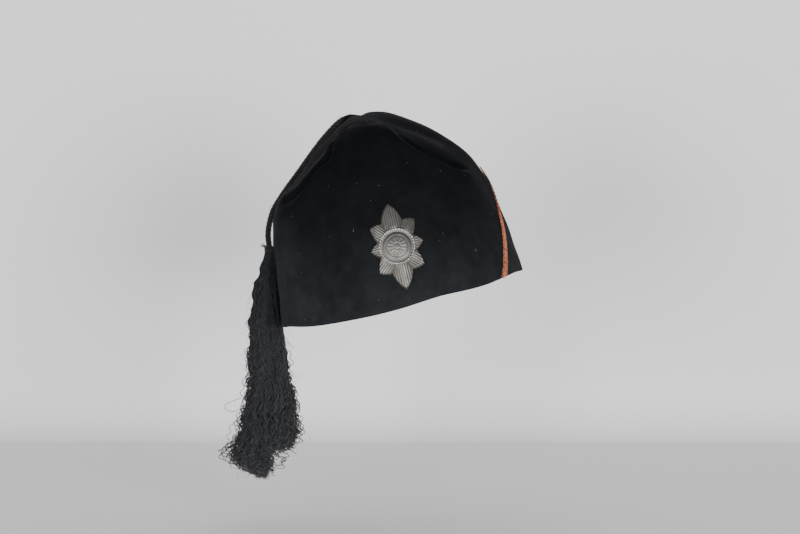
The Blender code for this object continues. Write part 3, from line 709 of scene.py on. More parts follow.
def tubes(paths, radii, sides, reference=SKEW, lobes=0, lobe_depth=0.0, lobe_turns=0.0):
    """Closed tubes along many paths at once. The section of each is a circle of its radius
    about the path, square to it, whose rim may swing in and out lobes times and turn along
    the way. paths is strands by steps by 3, and reference is a direction that no path
    follows. Returns points, face groups, and each point's share of the way along."""
    paths = np.asarray(paths, float)
    strands, steps = paths.shape[:2]
    radii = np.broadcast_to(radii, (strands, steps))
    along = unit(np.gradient(paths, axis=1))
    side = unit(np.cross(along, np.broadcast_to(reference, paths.shape)))
    other = np.cross(along, side)
    angle = np.arange(sides) * 2 * pi / sides
    share = np.linspace(0.0, 1.0, steps)
    swing = 1 + lobe_depth * np.cos(lobes * (angle - 2 * pi * lobe_turns * share[:, None]))
    reach = (radii[..., None] * swing)[..., None]
    sideways = np.cos(angle)[:, None] * side[:, :, None]
    offset = sideways + np.sin(angle)[:, None] * other[:, :, None]
    rings = paths[:, :, None] + reach * offset
    points = np.concatenate([rings.reshape(strands, -1, 3), paths[:, [0, -1]]], axis=1)
    starts = np.arange(strands)[:, None, None] * points.shape[1]
    groups = closed_faces(steps, sides)
    faces = [(starts + group).reshape(-1, group.shape[1]) for group in groups]
    shares = np.tile(np.append(np.repeat(share, sides), [0.0, 1.0]), strands)
    return points.reshape(-1, 3), faces, shares


def add_tubes(name, replaced, slot, look, paths, radii, sides, run=0.0, **form):
    """Adds tubes along many paths as one piece. Its UV map, if it has one, goes from 0 to run
    along each tube, and run is the tube's length in millimetres."""
    points, faces, shares = tubes(paths, radii, sides, **form)
    uv = np.stack([shares * run, np.zeros_like(shares)], axis=-1) if run else None
    return add_piece(name, replaced, slot, look, points, faces, uv)


def node(tree, kind, inputs, **settings):
    """Adds a shader node, makes its settings, and links or sets its inputs."""
    made = tree.nodes.new("ShaderNode" + kind)
    for name, value in settings.items():
        setattr(made, name, value)
    for name, value in inputs.items():
        if isinstance(value, bpy.types.NodeSocket):
            tree.links.new(value, made.inputs[name])
        else:
            made.inputs[name].default_value = value
    return made


def new_look(name, **sockets):
    """A material with a Principled shader whose sockets are set to the given constants."""
    look = bpy.data.materials.new(name)
    look.use_nodes = True
    shader = look.node_tree.nodes["Principled BSDF"]
    for socket, value in sockets.items():
        shader.inputs[socket.replace("_", " ")].default_value = value
    return look, look.node_tree, shader


def mixed(tree, factor, first, second):
    """The colour socket of a mix from first to second."""
    inputs = {0: factor, 6: first, 7: second}
    return node(tree, "Mix", inputs, data_type="RGBA").outputs[2]


def scaled(tree, tint, factor):
    """A colour socket times a number socket."""
    return node(tree, "VectorMath", {0: tint, "Scale": factor}, operation="SCALE").outputs[0]


def times_plus(tree, first, second, third):
    """The number socket of first times second, plus third."""
    inputs = {0: first, 1: second, 2: third}
    return node(tree, "Math", inputs, operation="MULTIPLY_ADD").outputs[0]


def ranged(tree, value, low, high, to_low=0.0, to_high=1.0):
    """A number socket taken from the range low to high into another, and held inside it."""
    ends = {"From Min": low, "From Max": high, "To Min": to_low, "To Max": to_high}
    return node(tree, "MapRange", {"Value": value, **ends}).outputs["Result"]


def noise(tree, size, detail):
    """The number socket of a noise in Object coordinates whose blotches are size wide."""
    place = node(tree, "TexCoord", {}).outputs["Object"]
    inputs = {"Vector": place, "Scale": 1 / size, "Detail": detail}
    return node(tree, "TexNoise", inputs).outputs["Fac"]


def carried(tree, name):
    """The named number that each point of the piece carries."""
    return node(tree, "Attribute", {}, attribute_name=name).outputs["Fac"]


def dress(tree, shader, tint, height=None, strength=0.0, distance=0.0):
    """Links a colour to a shader, and bumps of the given height if it has any."""
    tree.links.new(tint, shader.inputs["Base Color"])
    if height is not None:
        bumps = {"Height": height, "Strength": strength, "Distance": distance}
        tree.links.new(node(tree, "Bump", bumps).outputs["Normal"], shader.inputs["Normal"])


def rgba(tint, scale=1.0):
    return (*[min(v * scale, 1.0) for v in tint], 1.0)


def felt_look(settings):
    """Blocked wool felt, dyed black, with a short brushed nap. Face on it swallows the light.
    Where it turns away, the nap's tips catch it, so outlines and ridges look paler and
    softer than the hollows. Toward the rim its colour is painted paler for bounce light from below,
    and low on the wearer's right partly for the left lamp's light and partly for handling wear."""
    look, tree, shader = new_look(
        "brushed_wool_felt",
        Roughness=0.95,
        Specular_IOR_Level=0.05,
        Sheen_Weight=0.035,
        Sheen_Roughness=0.38,
        Sheen_Tint=rgba(settings.sheen_colour),
    )
    # Clouds 22 mm wide where the nap is rubbed different ways, and mottling 6 mm wide
    clouds = noise(tree, 0.022, 3.0)
    mottle = noise(tree, 0.006, 3.0)
    # Single hairs are 0.02 mm thick, too fine to show, so the nap's tufts are drawn 0.8 mm wide
    tufts = noise(tree, 0.0008, 4.0)
    every = times_plus(tree, tufts, 0.7, times_plus(tree, mottle, 0.6, clouds))
    # The felt is painted paler toward the rim for bounce light from below, and low on the wearer's
    # right partly for light from the left lamp and partly for handling wear
    greyed = mixed(tree, carried(tree, "hem"), rgba(settings.felt_colour), rgba(settings.hem_colour))
    worn = scaled(tree, greyed, ranged(tree, every, 0.85, 1.45, 0.66, 1.36))
    dress(tree, shader, worn, tufts, 0.45, 0.0005)
    return look


def yarn_look(settings, name):
    """Plied wool yarn, dyed black and faded a little. It is matt and hairy, so it looks a
    shade paler than the felt, most of all where it stands out."""
    look, tree, shader = new_look(
        name,
        Roughness=0.9,
        Specular_IOR_Level=0.15,
        Sheen_Weight=0.5,
        Sheen_Roughness=0.5,
        Sheen_Tint=rgba(linear("A8A6A4")),
    )
    along = node(tree, "TexCoord", {}).outputs["UV"]
    # Fibres wrap the yarn about every 1.3 mm of its length
    wrap = {"Vector": along, "Scale": 0.5, "Distortion": 1.5}
    ply = node(tree, "TexWave", wrap, bands_direction="DIAGONAL").outputs["Fac"]
    faded, deep = rgba(settings.yarn_colour, 1.4), rgba(settings.yarn_colour, 0.65)
    dress(tree, shader, mixed(tree, noise(tree, 0.012, 2.0), deep, faded), ply, 0.5, 0.0003)
    return look


def badge_look(settings):
    """Stamped white metal, never polished since. Its high points are rubbed bright, and a dull
    grey film lies in its hollows and dulls their gloss."""
    look, tree, shader = new_look("stamped_white_metal", Metallic=1.0)
    # The film has stains 4 mm wide
    patchy = times_plus(tree, carried(tree, "rubbed"), noise(tree, 0.004, 5.0), 0.15)
    clean = ranged(tree, patchy, 0.15, 0.65)
    tree.links.new(ranged(tree, clean, 0.0, 1.0, 0.55, 0.30), shader.inputs["Roughness"])
    tint = mixed(tree, clean, rgba(settings.tarnish_colour), rgba(settings.metal_colour))
    # Fine scratches and the grain of the die, drawn 0.3 mm wide
    dress(tree, shader, tint, noise(tree, 0.0003, 2.0), 0.12, 0.0001)
    return look


def ribbon_look(settings):
    """Ribbed silk or rayon ribbon, woven, faded and grubby. Its ribs run across it and catch
    the light one by one, and dirt has greyed it in patches."""
    look, tree, shader = new_look(
        "ribbed_ribbon",
        Roughness=0.80,
        Specular_IOR_Level=0.12,
        Sheen_Weight=0.06,
        Sheen_Roughness=0.4,
    )
    fresh = rgba(settings.ribbon_colour)
    # Grime takes more from the red than from the blue, in patches 4 mm wide
    dull = rgba([v * kept for v, kept in zip(settings.ribbon_colour, (0.5, 0.6, 0.75))])
    patched = mixed(tree, ranged(tree, noise(tree, 0.004, 4.0), 0.45, 0.70), fresh, dull)
    soiled = mixed(tree, carried(tree, "soil"), patched, rgba(settings.thread_colour))
    # Its warp threads are 0.25 mm apart
    dress(tree, shader, soiled, noise(tree, 0.00025, 2.0), 0.3, 0.0002)
    return look


def fibre_paths(draw, roots, outward, along, reach):
    """Loose fibres: each leans outwards along a quarter of a sine as it goes along the yarn,
    and drifts sideways as the square of the way."""
    share = np.linspace(0.0, 1.0, FIBRE_STEPS)[:, None]
    lean = draw.uniform(0.15, 0.55, (len(roots), 1)) * outward
    drift = draw.uniform(-0.6, 0.6, (len(roots), 1)) * np.cross(outward, along)
    way = along[:, None] * share + lean[:, None] * np.sin(share * pi / 2) + drift[:, None] * share**2
    return roots[:, None] + reach[:, None, None] * way


def thread_look(tint, name):
    """Spun sewing thread or a loose bit of lint: matt, with no pattern that shows at its size
    but a slight change of shade along it."""
    look, tree, shader = new_look(name, Roughness=0.85, Specular_IOR_Level=0.2, Sheen_Weight=0.2)
    dress(tree, shader, mixed(tree, noise(tree, 0.003, 2.0), rgba(tint, 0.7), rgba(tint, 1.3)))
    return look


def felt_lumps(points, size):
    """Unevenness from hand blocking: the sum of six waves of size, 14 to 40 mm long, that run
    across the crown in fixed directions."""
    draw = np.random.default_rng(7)
    lift = np.zeros(points.shape[:-1])
    for wavelength in (0.040, 0.034, 0.027, 0.022, 0.018, 0.014):
        direction = unit(draw.normal(size=3))
        lift += size * np.sin(points @ direction * 2 * pi / wavelength + draw.uniform(0, 2 * pi)) / 2
    return lift


def wall_up(share, crest):
    """Up along a wall at shares from 0 at the rim to 1 at the apex, with the rows drawn close
    together along the crest, which lies at half of the share."""
    closer = 1.5
    below = crest * (1 - np.clip(1 - 2 * share, 0, 1) ** closer)
    above = crest + (1 - crest) * np.clip(2 * share - 1, 0, 1) ** closer
    return np.where(share <= 0.5, below, above)


class FEZ_OT_crown(bpy.types.Operator):
    """Adds the felt crown: its outer and inner walls, the cut rim and the folds"""

    bl_idname = "fez.crown"
    bl_label = "Felt crown"

    def execute(self, context):
        settings = context.scene.fez_crown
        azimuth = np.arange(settings.around) * 2 * pi / settings.around
        crest = crest_up(azimuth)[None, :]
        edge = np.array(RIM_EDGE)
        edge_up = edge[:, 1:] * FELT / CROWN_HEIGHT
        inner_rows = settings.rows * 2 // 5
        inner = wall_up(np.linspace(1.0, 0.0, inner_rows + 1)[1:-1, None], crest)
        outer = wall_up(np.linspace(0.0, 1.0, settings.rows + 1)[1:-1, None], crest)
        around = np.ones_like(crest)
        up = np.concatenate([inner, edge_up * around, outer])
        edge_lift = FELT * edge[:, :1] * around
        lift = np.concatenate([np.full_like(inner, -FELT), edge_lift, np.zeros_like(outer)])
        azimuths = np.broadcast_to(azimuth, up.shape)
        # The lumps fade out at the apex, where the columns meet
        fade = np.clip((1 - up) / 0.05, 0, 1)
        lumps = felt_lumps(crown_base(azimuths, up), settings.lump) * fade
        points = crown_at(azimuths, up, lift + lumps)
        poles = crown_at(0.0, np.ones(2), np.array([-FELT, 0.0]))
        poles[:, 2] = [points[0, :, 2].mean(), points[-1, :, 2].mean()]
        points, faces = closed_grid(points, poles)
        # The low felt is painted paler where it turns round the wearer's right: partly painted light
        # from the left lamp, partly handling wear
        palest, reach, grey = radians(203), radians(20), 0.80
        left_lit_and_handled = grey * bump(turn_between(azimuths, palest) / reach) * np.clip(2 - 4 * up, 0, 1)
        # Painted bounce light from below pales the felt toward the rim, and the paler low felt on
        # the wearer's right is added to it
        hem = np.interp(up, *zip(*HEM_BOUNCE_LIGHT)) + left_lit_and_handled
        marks = {"hem": np.append(hem, [0.0, 0.0])}
        look = felt_look(settings)
        add_piece("crown_felt", "crown", "felt", look, to_world(points), faces, marks=marks)
        return {"FINISHED"}


class FEZ_OT_nub(bpy.types.Operator):
    """Adds the low felt nub beside the apex that the cord is sewn into: a bell curve whose
    foot runs down into the felt"""

    bl_idname = "fez.nub"
    bl_label = "Felt nub"

    def execute(self, context):
        settings = context.scene.fez_crown
        columns, foot, sunk = 48, 1.25, 0.0008
        turn = np.arange(columns)[None, :] * 2 * pi / columns
        under = np.linspace(0.05, foot, 8)[:, None]
        over = np.linspace(foot, 0.03, 22)[:, None]
        share = np.concatenate([under, over])
        swell = 1 + 0.06 * np.cos(3 * turn + 0.6)
        bell = settings.nub_rise * bump(over / 0.66) * swell - 0.00025
        lift = np.concatenate([np.full((len(under), columns), -sunk), bell])
        x = share * settings.nub_radius * np.cos(turn) - BUTTON_SHIFT
        y = share * settings.nub_radius * np.sin(turn) + BUTTON_BACK
        # Near the apex the way up falls evenly with the distance from it
        cap = CROWN_RINGS[-2]
        cap_width = RIM_HALF_WIDTH * np.where(x > 0, cap[1], cap[3])
        up = 1 - np.hypot(x / cap_width, y / (RIM_HALF_LENGTH * cap[5])) / (len(CROWN_RINGS) - 1)
        azimuth = np.arctan2(y / cap[5] / RIM_HALF_LENGTH, x / cap_width)
        points, faces = closed_grid(to_world(crown_at(azimuth, up, lift)))
        look = bpy.data.materials["brushed_wool_felt"]
        add_piece("crown_nub", "crown_button", "felt", look, points, faces)
        return {"FINISHED"}


class FEZ_OT_lint(bpy.types.Operator):
    """Adds the bits of lint that cling to the front of the felt, as short curled threads"""

    bl_idname = "fez.lint"
    bl_label = "Lint"

    def execute(self, context):
        settings = context.scene.fez_crown
        draw = np.random.default_rng(5)
        # Fainter bits are strewn between these azimuths, heights and lengths
        bits, longest = 24, 0.0009
        strewn = ((215, 335), (0.03, 0.8), (0.0004, longest))
        faint = np.transpose([draw.uniform(low, high, bits) for low, high in strewn])
        azimuth, up, size = (column[:, None] for column in np.concatenate([LINT, faint]).T)
        share = np.linspace(0.0, 1.0, 12)
        heading = draw.uniform(0, 2 * pi, azimuth.shape)
        heading = heading + draw.uniform(-3.5, 3.5, azimuth.shape) * share
        step = size / len(share)
        around = np.cumsum(np.cos(heading), axis=1) * step / RIM_HALF_LENGTH
        above = np.cumsum(np.sin(heading), axis=1) * step / CROWN_HEIGHT
        lift = 0.0003 + 0.0003 * share
        paths = to_world(crown_at(np.radians(azimuth) + around, up + above, lift))
        radii = np.where(size > longest, COARSE_LINT, FINE_LINT)
        look = thread_look(settings.lint_colour, "cotton_lint")
        add_tubes("felt_lint", "crown", None, look, paths, radii, 5)
        return {"FINISHED"}


def cord_line(steps):
    """The cord's middle line and the two directions square to it, at even shares."""
    line = curve(CORD_ROUTE, np.linspace(0.0, 1.0, steps))
    along = unit(np.gradient(line, axis=0))
    side = unit(np.cross(along, (0.0, 1.0, 0.0)))
    return line, side, np.cross(along, side)


class FEZ_OT_cord(bpy.types.Operator):
    """Adds the twisted cord from the nub to the tassel, and its loose fibres"""

    bl_idname = "fez.cord"
    bl_label = "Twisted cord"

    def execute(self, context):
        settings = context.scene.fez_cord
        steps = 260
        line, side, other = cord_line(steps)
        travelled = np.concatenate([[0], np.cumsum(np.linalg.norm(np.diff(line, axis=0), axis=1))])
        # It thins over its first 8 mm, where it is sewn into the nub
        sewn, thinnest = 0.008, 0.68
        thin = np.interp(travelled, [0.0, sewn], [thinnest, 1.0])
        first = np.arange(settings.plies)[:, None] * 2 * pi / settings.plies
        turn = first + 2 * pi * travelled / settings.lay
        # The plies' middles and their radius, as shares of the cord's thickness
        from_middle, ply = 0.22, 0.28
        offset = (from_middle * CORD_DIAMETER * thin)[:, None]
        plies = line + offset * (np.cos(turn)[..., None] * side + np.sin(turn)[..., None] * other)
        radii = ply * CORD_DIAMETER * thin
        look = yarn_look(settings, "twisted_wool_cord")
        names = ("cord_twisted", "tassel_cord", "cord")
        form = {"reference": (0.0, 1.0, 0.0), "lobes": 5, "lobe_depth": 0.06, "lobe_turns": -30}
        cord = add_tubes(*names, look, plies, radii, 20, travelled[-1] * 1000, **form)
        draw = np.random.default_rng(23)
        at = draw.integers(0, steps, settings.fibres)
        turn = draw.uniform(0, 2 * pi, (settings.fibres, 1))
        outward = np.cos(turn) * side[at] + np.sin(turn) * other[at]
        along = np.cross(side[at], other[at]) * draw.choice((-1.0, 1.0), (settings.fibres, 1))
        roots = line[at] + 0.42 * CORD_DIAMETER * outward
        reach = draw.uniform(0.0015, 0.004, settings.fibres)
        paths = fibre_paths(draw, roots, outward, along, reach)
        add_tubes("cord_fibres", "tassel_cord", "cord", look, paths, CORD_FIBRE, 3)
        return {"FINISHED"}


class FEZ_OT_binding(bpy.types.Operator):
    """Adds the turns of yarn wound round the tassel's neck, with a tuft of cut ends"""

    bl_idname = "fez.binding"
    bl_label = "Tassel binding"

    def execute(self, context):
        settings = context.scene.fez_cord
        lowest, highest = (np.array(corner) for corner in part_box("tassel_binding"))
        centre, radius = (lowest + highest) / 2, (highest[0] - lowest[0]) / 2
        height = highest[2] - lowest[2]
        strand = height / (settings.binding_turns + 0.4) * 0.60
        place = np.linspace(0.0, 1.0, 60 * settings.binding_turns)
        turn = 2 * pi * settings.binding_turns * place
        # The turns climb unevenly, swell at mid height and tighten at both ends
        even = height * (place - 0.5) * (1 - 2 * strand / height)
        climb = even + 0.12 * strand * np.sin(3 * turn + 1)
        tight = 1 - 0.45 * np.abs(2 * place - 1) ** 3.5
        reach = (radius - strand) * tight + 0.00012 * np.sin(2.3 * turn)
        winding = centre + np.stack([reach * np.cos(turn), reach * np.sin(turn), climb], axis=-1)
        look = yarn_look(settings, "wound_wool_yarn")
        names = ("tassel_binding_yarn", "tassel_binding", "yarn")
        form = {"reference": (0.0, 0.0, 1.0), "lobes": 2, "lobe_depth": 0.1, "lobe_turns": 60}
        add_tubes(*names, look, winding[None], strand, 12, 120, **form)
        draw = np.random.default_rng(31)
        ends = (7, 3)
        root = centre + np.array([-0.7 * radius, -0.5 * radius, 0.3 * height])
        roots = root + draw.normal(0, 0.0004, ends)
        outward = unit(np.array([-1.0, -0.3, 0.2]) + draw.normal(0, 0.3, ends))
        along = unit(np.array([-0.5, -0.4, 0.5]) + draw.normal(0, 0.4, ends))
        paths = fibre_paths(draw, roots, outward, along, draw.uniform(0.0015, 0.0030, ends[0]))
        add_tubes("tassel_binding_tuft", "tassel_binding", "yarn", look, paths, TUFT_END, 5)
        return {"FINISHED"}


def lock_paths(draw, settings, lock, share, clumps, stray, first_end, last_end):
    """The middle lines of a lock's strands, strand by step by 3. They hang in clumps that are
    spread over the lock's oval section by the golden angle. Each is kinked by two waves that
    grow and shorten on the way down, and clumps near the lock's middle end lowest."""
    drops, left, right, depth = (np.array(column) for column in zip(*TASSEL_LOCKS[lock]))
    # How far clumps, strands in a clump, and their sway reach, as shares of the lock's half width
    clump_reach, strand_reach, sway_reach = 0.80, 0.62, 0.16
    number = round(share * settings.strands)
    clump = np.arange(number) % clumps
    spread = np.sqrt((np.arange(clumps) + 0.5) / clumps) * clump_reach
    around = np.arange(clumps) * pi * (3 - 5**0.5)
    clump_u, clump_v = spread * np.cos(around), spread * np.sin(around)
    outer = np.clip(np.abs(clump_u) + draw.uniform(-0.2, 0.2, clumps), 0, 1)
    end = last_end - (last_end - first_end) * outer
    end = end[clump] - 0.07 * draw.uniform(0, 1, number) ** 2
    # The steps lie closer together toward the foot, where the kinks are shorter
    down = np.linspace(0.0, 1.0, STRAND_STEPS) ** 0.88
    drop = drops[0] + (end[:, None] - drops[0]) * down
    own = np.sqrt(draw.uniform(0, 1, (number, 1))) * strand_reach
    twist = draw.uniform(0, 2 * pi, (number, 1)) + down * draw.uniform(1.0, 3.0, (clumps, 1))[clump]
    sway = draw.uniform(0, 2 * pi, (2, clumps, 1))[:, clump]
    u = clump_u[clump, None] + own * np.cos(twist) + sway_reach * np.sin(16 * down + sway[0])
    v = clump_v[clump, None] + own * np.sin(twist) + sway_reach * np.sin(14 * down + sway[1])
    over = np.maximum(np.hypot(u, v), 1)
    # Loose strands stray ever further from their clump
    pair = (2, number, 1)
    wander = np.sin(down * draw.uniform(6, 20, pair) + draw.uniform(0, 2 * pi, pair))
    wander = down**1.6 * wander * stray * draw.normal(0, 1, pair)
    u, v = u / over + wander[0], v / over + wander[1]
    left, right, depth = (np.interp(drop, drops, reach) for reach in (left, right, depth))
    # Where the kinks of a clump fall together the lock swells, six to sixteen times on its way
    swell_left = 0.030 * np.sin(44 * drop) + 0.018 * np.sin(97 * drop + 2)
    swell_right = 0.030 * np.sin(41 * drop + 1) + 0.020 * np.sin(103 * drop)
    left = (left + np.clip(drop / 0.15, 0, 1) * swell_left) * TASSEL_HALF_WIDTH
    right = (right + np.clip((drop - 0.42) / 0.2, 0, 1) * swell_right) * TASSEL_HALF_WIDTH
    depth = depth * TASSEL_HALF_WIDTH
    # A kink's length as a share of crimp_length: at the top, and how much less at the foot
    at_top, shorter = 1.05, 0.45
    left_over = 1 - shorter / at_top * np.clip(drop, 0, 1.02)
    turns = -TASSEL_LENGTH / (settings.crimp_length * shorter) * np.log(left_over)
    turns = turns * draw.uniform(0.85, 1.2, (number, 1))
    phase = draw.uniform(0, 1, (2, clumps, 1))[:, clump] + 0.8 * draw.uniform(0, 1, pair)
    # Kinks grow on the way down, and the last of a strand curls up to twice as far
    curl = 1 + 1.1 * np.clip((down - 0.92) / 0.08, 0, 1)
    size = settings.crimp * np.interp(drop, (0.0, 0.15, 0.6, 1.0), (0.15, 0.45, 0.80, 1.15)) * curl
    size = size * draw.uniform(0.5, 1.3, (number, 1))
    kink_x = size * np.sin(2 * pi * (turns + phase[0]))
    kink_y = size * 0.8 * np.sin(2 * pi * (1.1 * turns + phase[1]))
    kink_z = size * 0.3 * np.sin(4 * pi * (turns + phase[1]))
    return np.stack([
        TASSEL_TOP[0] + (right - left) / 2 + (right + left) / 2 * u + kink_x,
        TASSEL_TOP[1] + depth * v + kink_y,
        TASSEL_TOP[2] - TASSEL_LENGTH * drop + kink_z,
    ], axis=-1)


class FEZ_OT_tassel(bpy.types.Operator):
    """Adds the tassel's crimped yarn, lock by lock, with its loose fibres and one loop"""

    bl_idname = "fez.tassel"
    bl_label = "Tassel yarn"

    def execute(self, context):
        settings = context.scene.fez_tassel
        look = yarn_look(settings, "crimped_wool_yarn")
        draw = np.random.default_rng(11)
        paths = np.concatenate([lock_paths(draw, settings, *row) for row in LOCK_STRANDS])
        down = np.linspace(0.0, 1.0, STRAND_STEPS)
        # Each strand is thin at the binding and ends in a point
        thin = np.clip(down / 0.15, 0.55, 1) * np.clip((1 - down) / 0.02, 0.35, 1)
        radii = settings.yarn_radius * thin
        radii = radii * draw.uniform(0.8, 1.15, (len(paths), 1))
        for number, group in enumerate(np.array_split(np.arange(len(paths)), 3), 1):
            names = (f"tassel_yarn_{number}", "tassel_skirt", "yarn")
            form = (paths[group], radii[group], 3, 170)
            add_tubes(*names, look, *form, reference=(0.0, 1.0, 0.0))
        strand = draw.integers(0, len(paths), settings.fibres)
        roots = paths[strand, draw.integers(STRAND_STEPS // 8, STRAND_STEPS - 4, settings.fibres)]
        outward = roots - np.array(TASSEL_TOP)
        outward[:, 2] = 0.0
        along = unit(np.array([0.0, 0.0, -1.0]) + draw.normal(0, 0.35, roots.shape))
        reach = draw.uniform(0.004, 0.011, settings.fibres)
        hairs = fibre_paths(draw, roots, unit(outward), along, reach)
        loop = curve(LOOSE_LOOP, np.linspace(0.0, 1.0, 40))
        add_tubes("tassel_fibres", "tassel_skirt", "yarn", look, hairs, YARN_FIBRE, 3)
        add_tubes("tassel_loop", "tassel_skirt", "yarn", look, loop[None], LOOP_YARN, 8)
        return {"FINISHED"}


def ribbon_wear(along):
    """The share of the ribbon's width that is left, and the soil on it, at each place along
    either arm."""
    to_apex = 1 - np.abs(1 - along)
    places, widths, soils = zip(*RIBBON_WEAR)
    return np.interp(to_apex, places, widths), np.interp(to_apex, places, soils)


def badge_point(across, above, lift):
    """A point of the badge, which is pressed to the curve of the crown's front."""
    azimuth, up = crown_place(0, BADGE_X + across, BADGE_Z + above, radians(272))
    return crown_at(azimuth, up, lift)


def badge_grid(settings):
    """The badge's face and back as rings round its middle: its edge is an upright oval that
    comes out into straight points, and its thickness is the greatest of ridged and fluted
    rays, a ring of beads, and a dome with a rosette."""
    flute_pitch, bead_radius, groove = 0.0014, 0.00075, 0.00020
    # Where the ring of beads and its outer edge lie, as shares of the boss's radius
    bead_ring, beads_end = 1.16, 1.28
    angle = np.arange(480) * 2 * pi / 480
    ray = angle * settings.rays / (2 * pi)
    ridge = np.abs(2 * (ray % 1) - 1)
    oval = 1 / np.hypot(np.cos(angle) / settings.half_width, np.sin(angle) / settings.half_height)
    outline = oval * (0.70 + 0.30 * ridge)
    share = np.linspace(0.98, 0.02, 90)[:, None]
    reach = share * outline
    from_axis = reach * np.sin(turn_between(angle, np.round(ray) * 2 * pi / settings.rays))
    flute = 0.5 + 0.5 * np.cos(2 * pi * from_axis / flute_pitch)
    fluted = 0.38 * flute * np.clip(ridge * 2, 0, 1)
    bevel = np.clip((1 - share) / 0.05, 0.3, 1)
    rays = settings.plate * (0.62 + 0.75 * ridge * (1 - share) + fluted) * bevel
    boss = reach / settings.boss_radius
    dome = settings.boss_rise * np.sqrt(np.clip(1 - (0.86 * boss) ** 2, 0, 1))
    between_petals = 1 - np.abs(np.cos(6 * angle)) ** 0.6
    rosette = np.clip(1 - np.abs(boss - 0.42) / 0.26, 0, 1) * between_petals
    rings = bump((boss - 0.2) / 0.035) + bump((boss - 0.72) / 0.03)
    dome = dome - groove * (rosette + rings)
    bead_reach = bead_ring * settings.boss_radius
    beside = np.sin(settings.beads / 2 * angle) / settings.beads * 2 * bead_reach
    from_bead = np.hypot(reach - bead_reach, beside)
    beads = settings.plate + np.sqrt(np.clip(bead_radius**2 - from_bead**2, 0, None))
    inner = np.maximum(np.where(boss < 1, dome, beads), 0.85 * settings.plate)
    face = np.where(boss < beads_end, inner, rays)
    rubbed = np.clip((face / settings.plate - 0.62) / 0.9, 0, 1) * np.where(boss < 1, 0.30, 1.0)
    return angle, outline, share, face, rubbed


class FEZ_OT_badge(bpy.types.Operator):
    """Adds the stamped badge with the prongs that hold it"""

    bl_idname = "fez.badge"
    bl_label = "Metal badge"

    def execute(self, context):
        settings = context.scene.fez_badge
        angle, outline, share, face, rubbed = badge_grid(settings)
        back = np.linspace(0.02, 1.0, 12)[:, None]
        flat = np.zeros((len(back), len(angle)))
        edge = np.full((1, len(angle)), 0.22 * settings.plate)
        reach = np.concatenate([back, [[1.0]], share]) * outline
        lift = SEAT_GAP + np.concatenate([flat, edge, face])
        points = badge_point(reach * np.cos(angle), reach * np.sin(angle), lift)
        middle = SEAT_GAP + np.array([0.0, face[-1].max()])
        poles = badge_point(np.zeros(2), np.zeros(2), middle)
        points, faces = closed_grid(points, poles)
        marks = np.append(np.concatenate([flat, 0 * edge, rubbed]), [0.0, 1.0])
        names = ("badge_plate", "badge", "white_metal")
        look = badge_look(settings)
        add_piece(*names, look, to_world(points), faces, marks={"rubbed": marks})
        for number, way in enumerate((1, -1), 1):
            add_prong(f"badge_prong_{number}", way, look)
        return {"FINISHED"}


def add_prong(name, way, look):
    """A flat strip that goes straight in through the felt, turns a tight quarter circle and
    lies along the inside. way is 1 for the upper prong and -1 for the lower one."""
    bend = 1.2 * PRONG_THICKNESS
    deep = FELT + SEAT_GAP + PRONG_THICKNESS / 2
    turn = np.linspace(0.0, pi / 2, 9)
    straight = np.linspace(SEAT_GAP, -deep + bend, 6)[:-1]
    run = np.linspace(bend, PRONG_LEG, 8)[1:]
    curve = bend * (1 - np.stack([np.cos(turn), np.sin(turn)]))
    above = np.concatenate([0 * straight, curve[0], run])
    lift = np.concatenate([straight, curve[1] - deep, 0 * run - deep])
    slope = unit(np.gradient(np.stack([above, lift], axis=-1), axis=0))
    corner = np.arange(16) * 2 * pi / 16
    # Its end is drawn in to a blunt tip
    narrow = np.clip(np.linspace(6.0, 0.55, len(above)), 0.55, 1)[:, None]
    across = PRONG_WIDTH / 2 * squared(np.cos(corner), 0.4) * narrow
    thick = PRONG_THICKNESS / 2 * squared(np.sin(corner), 0.4) * narrow
    rise = way * (PRONG_SPACING / 2 + above[:, None] - thick * slope[:, 1:])
    points = badge_point(across, rise, lift[:, None] + thick * slope[:, :1])
    points, faces = closed_grid(points, flip=way > 0)
    marks = {"rubbed": np.full(len(points), 0.6)}
    add_piece(name, "badge", "white_metal", look, to_world(points), faces, marks=marks)


def chevron_point(settings, along, across, lift):
    """A point of the chevron: along goes from 0 at the front foot over 1 at the apex to 2 at
    the back foot, and across from -1 to 1 between its edges. Each arm's middle is a straight
    line seen from the side."""
    slope = atan2(CHEVRON_APEX - CHEVRON_HEM, CHEVRON_FORWARD)
    foot_reach = settings.width / 2 / sin(slope)
    apex_reach = settings.width / 2 / cos(slope)
    to_apex = 1 - np.abs(1 - along)
    side = np.where(along <= 1, -1.0, 1.0)
    forward = side * (1 - to_apex) * (CHEVRON_FORWARD + across * foot_reach)
    foot_height = rim_height(side * CHEVRON_FORWARD) + CHEVRON_HEM
    height = (1 - to_apex) * foot_height + to_apex * (CHEVRON_APEX + across * apex_reach)
    azimuth, up = crown_place(1, forward, height, 0.0)
    return crown_at(azimuth, up, lift)


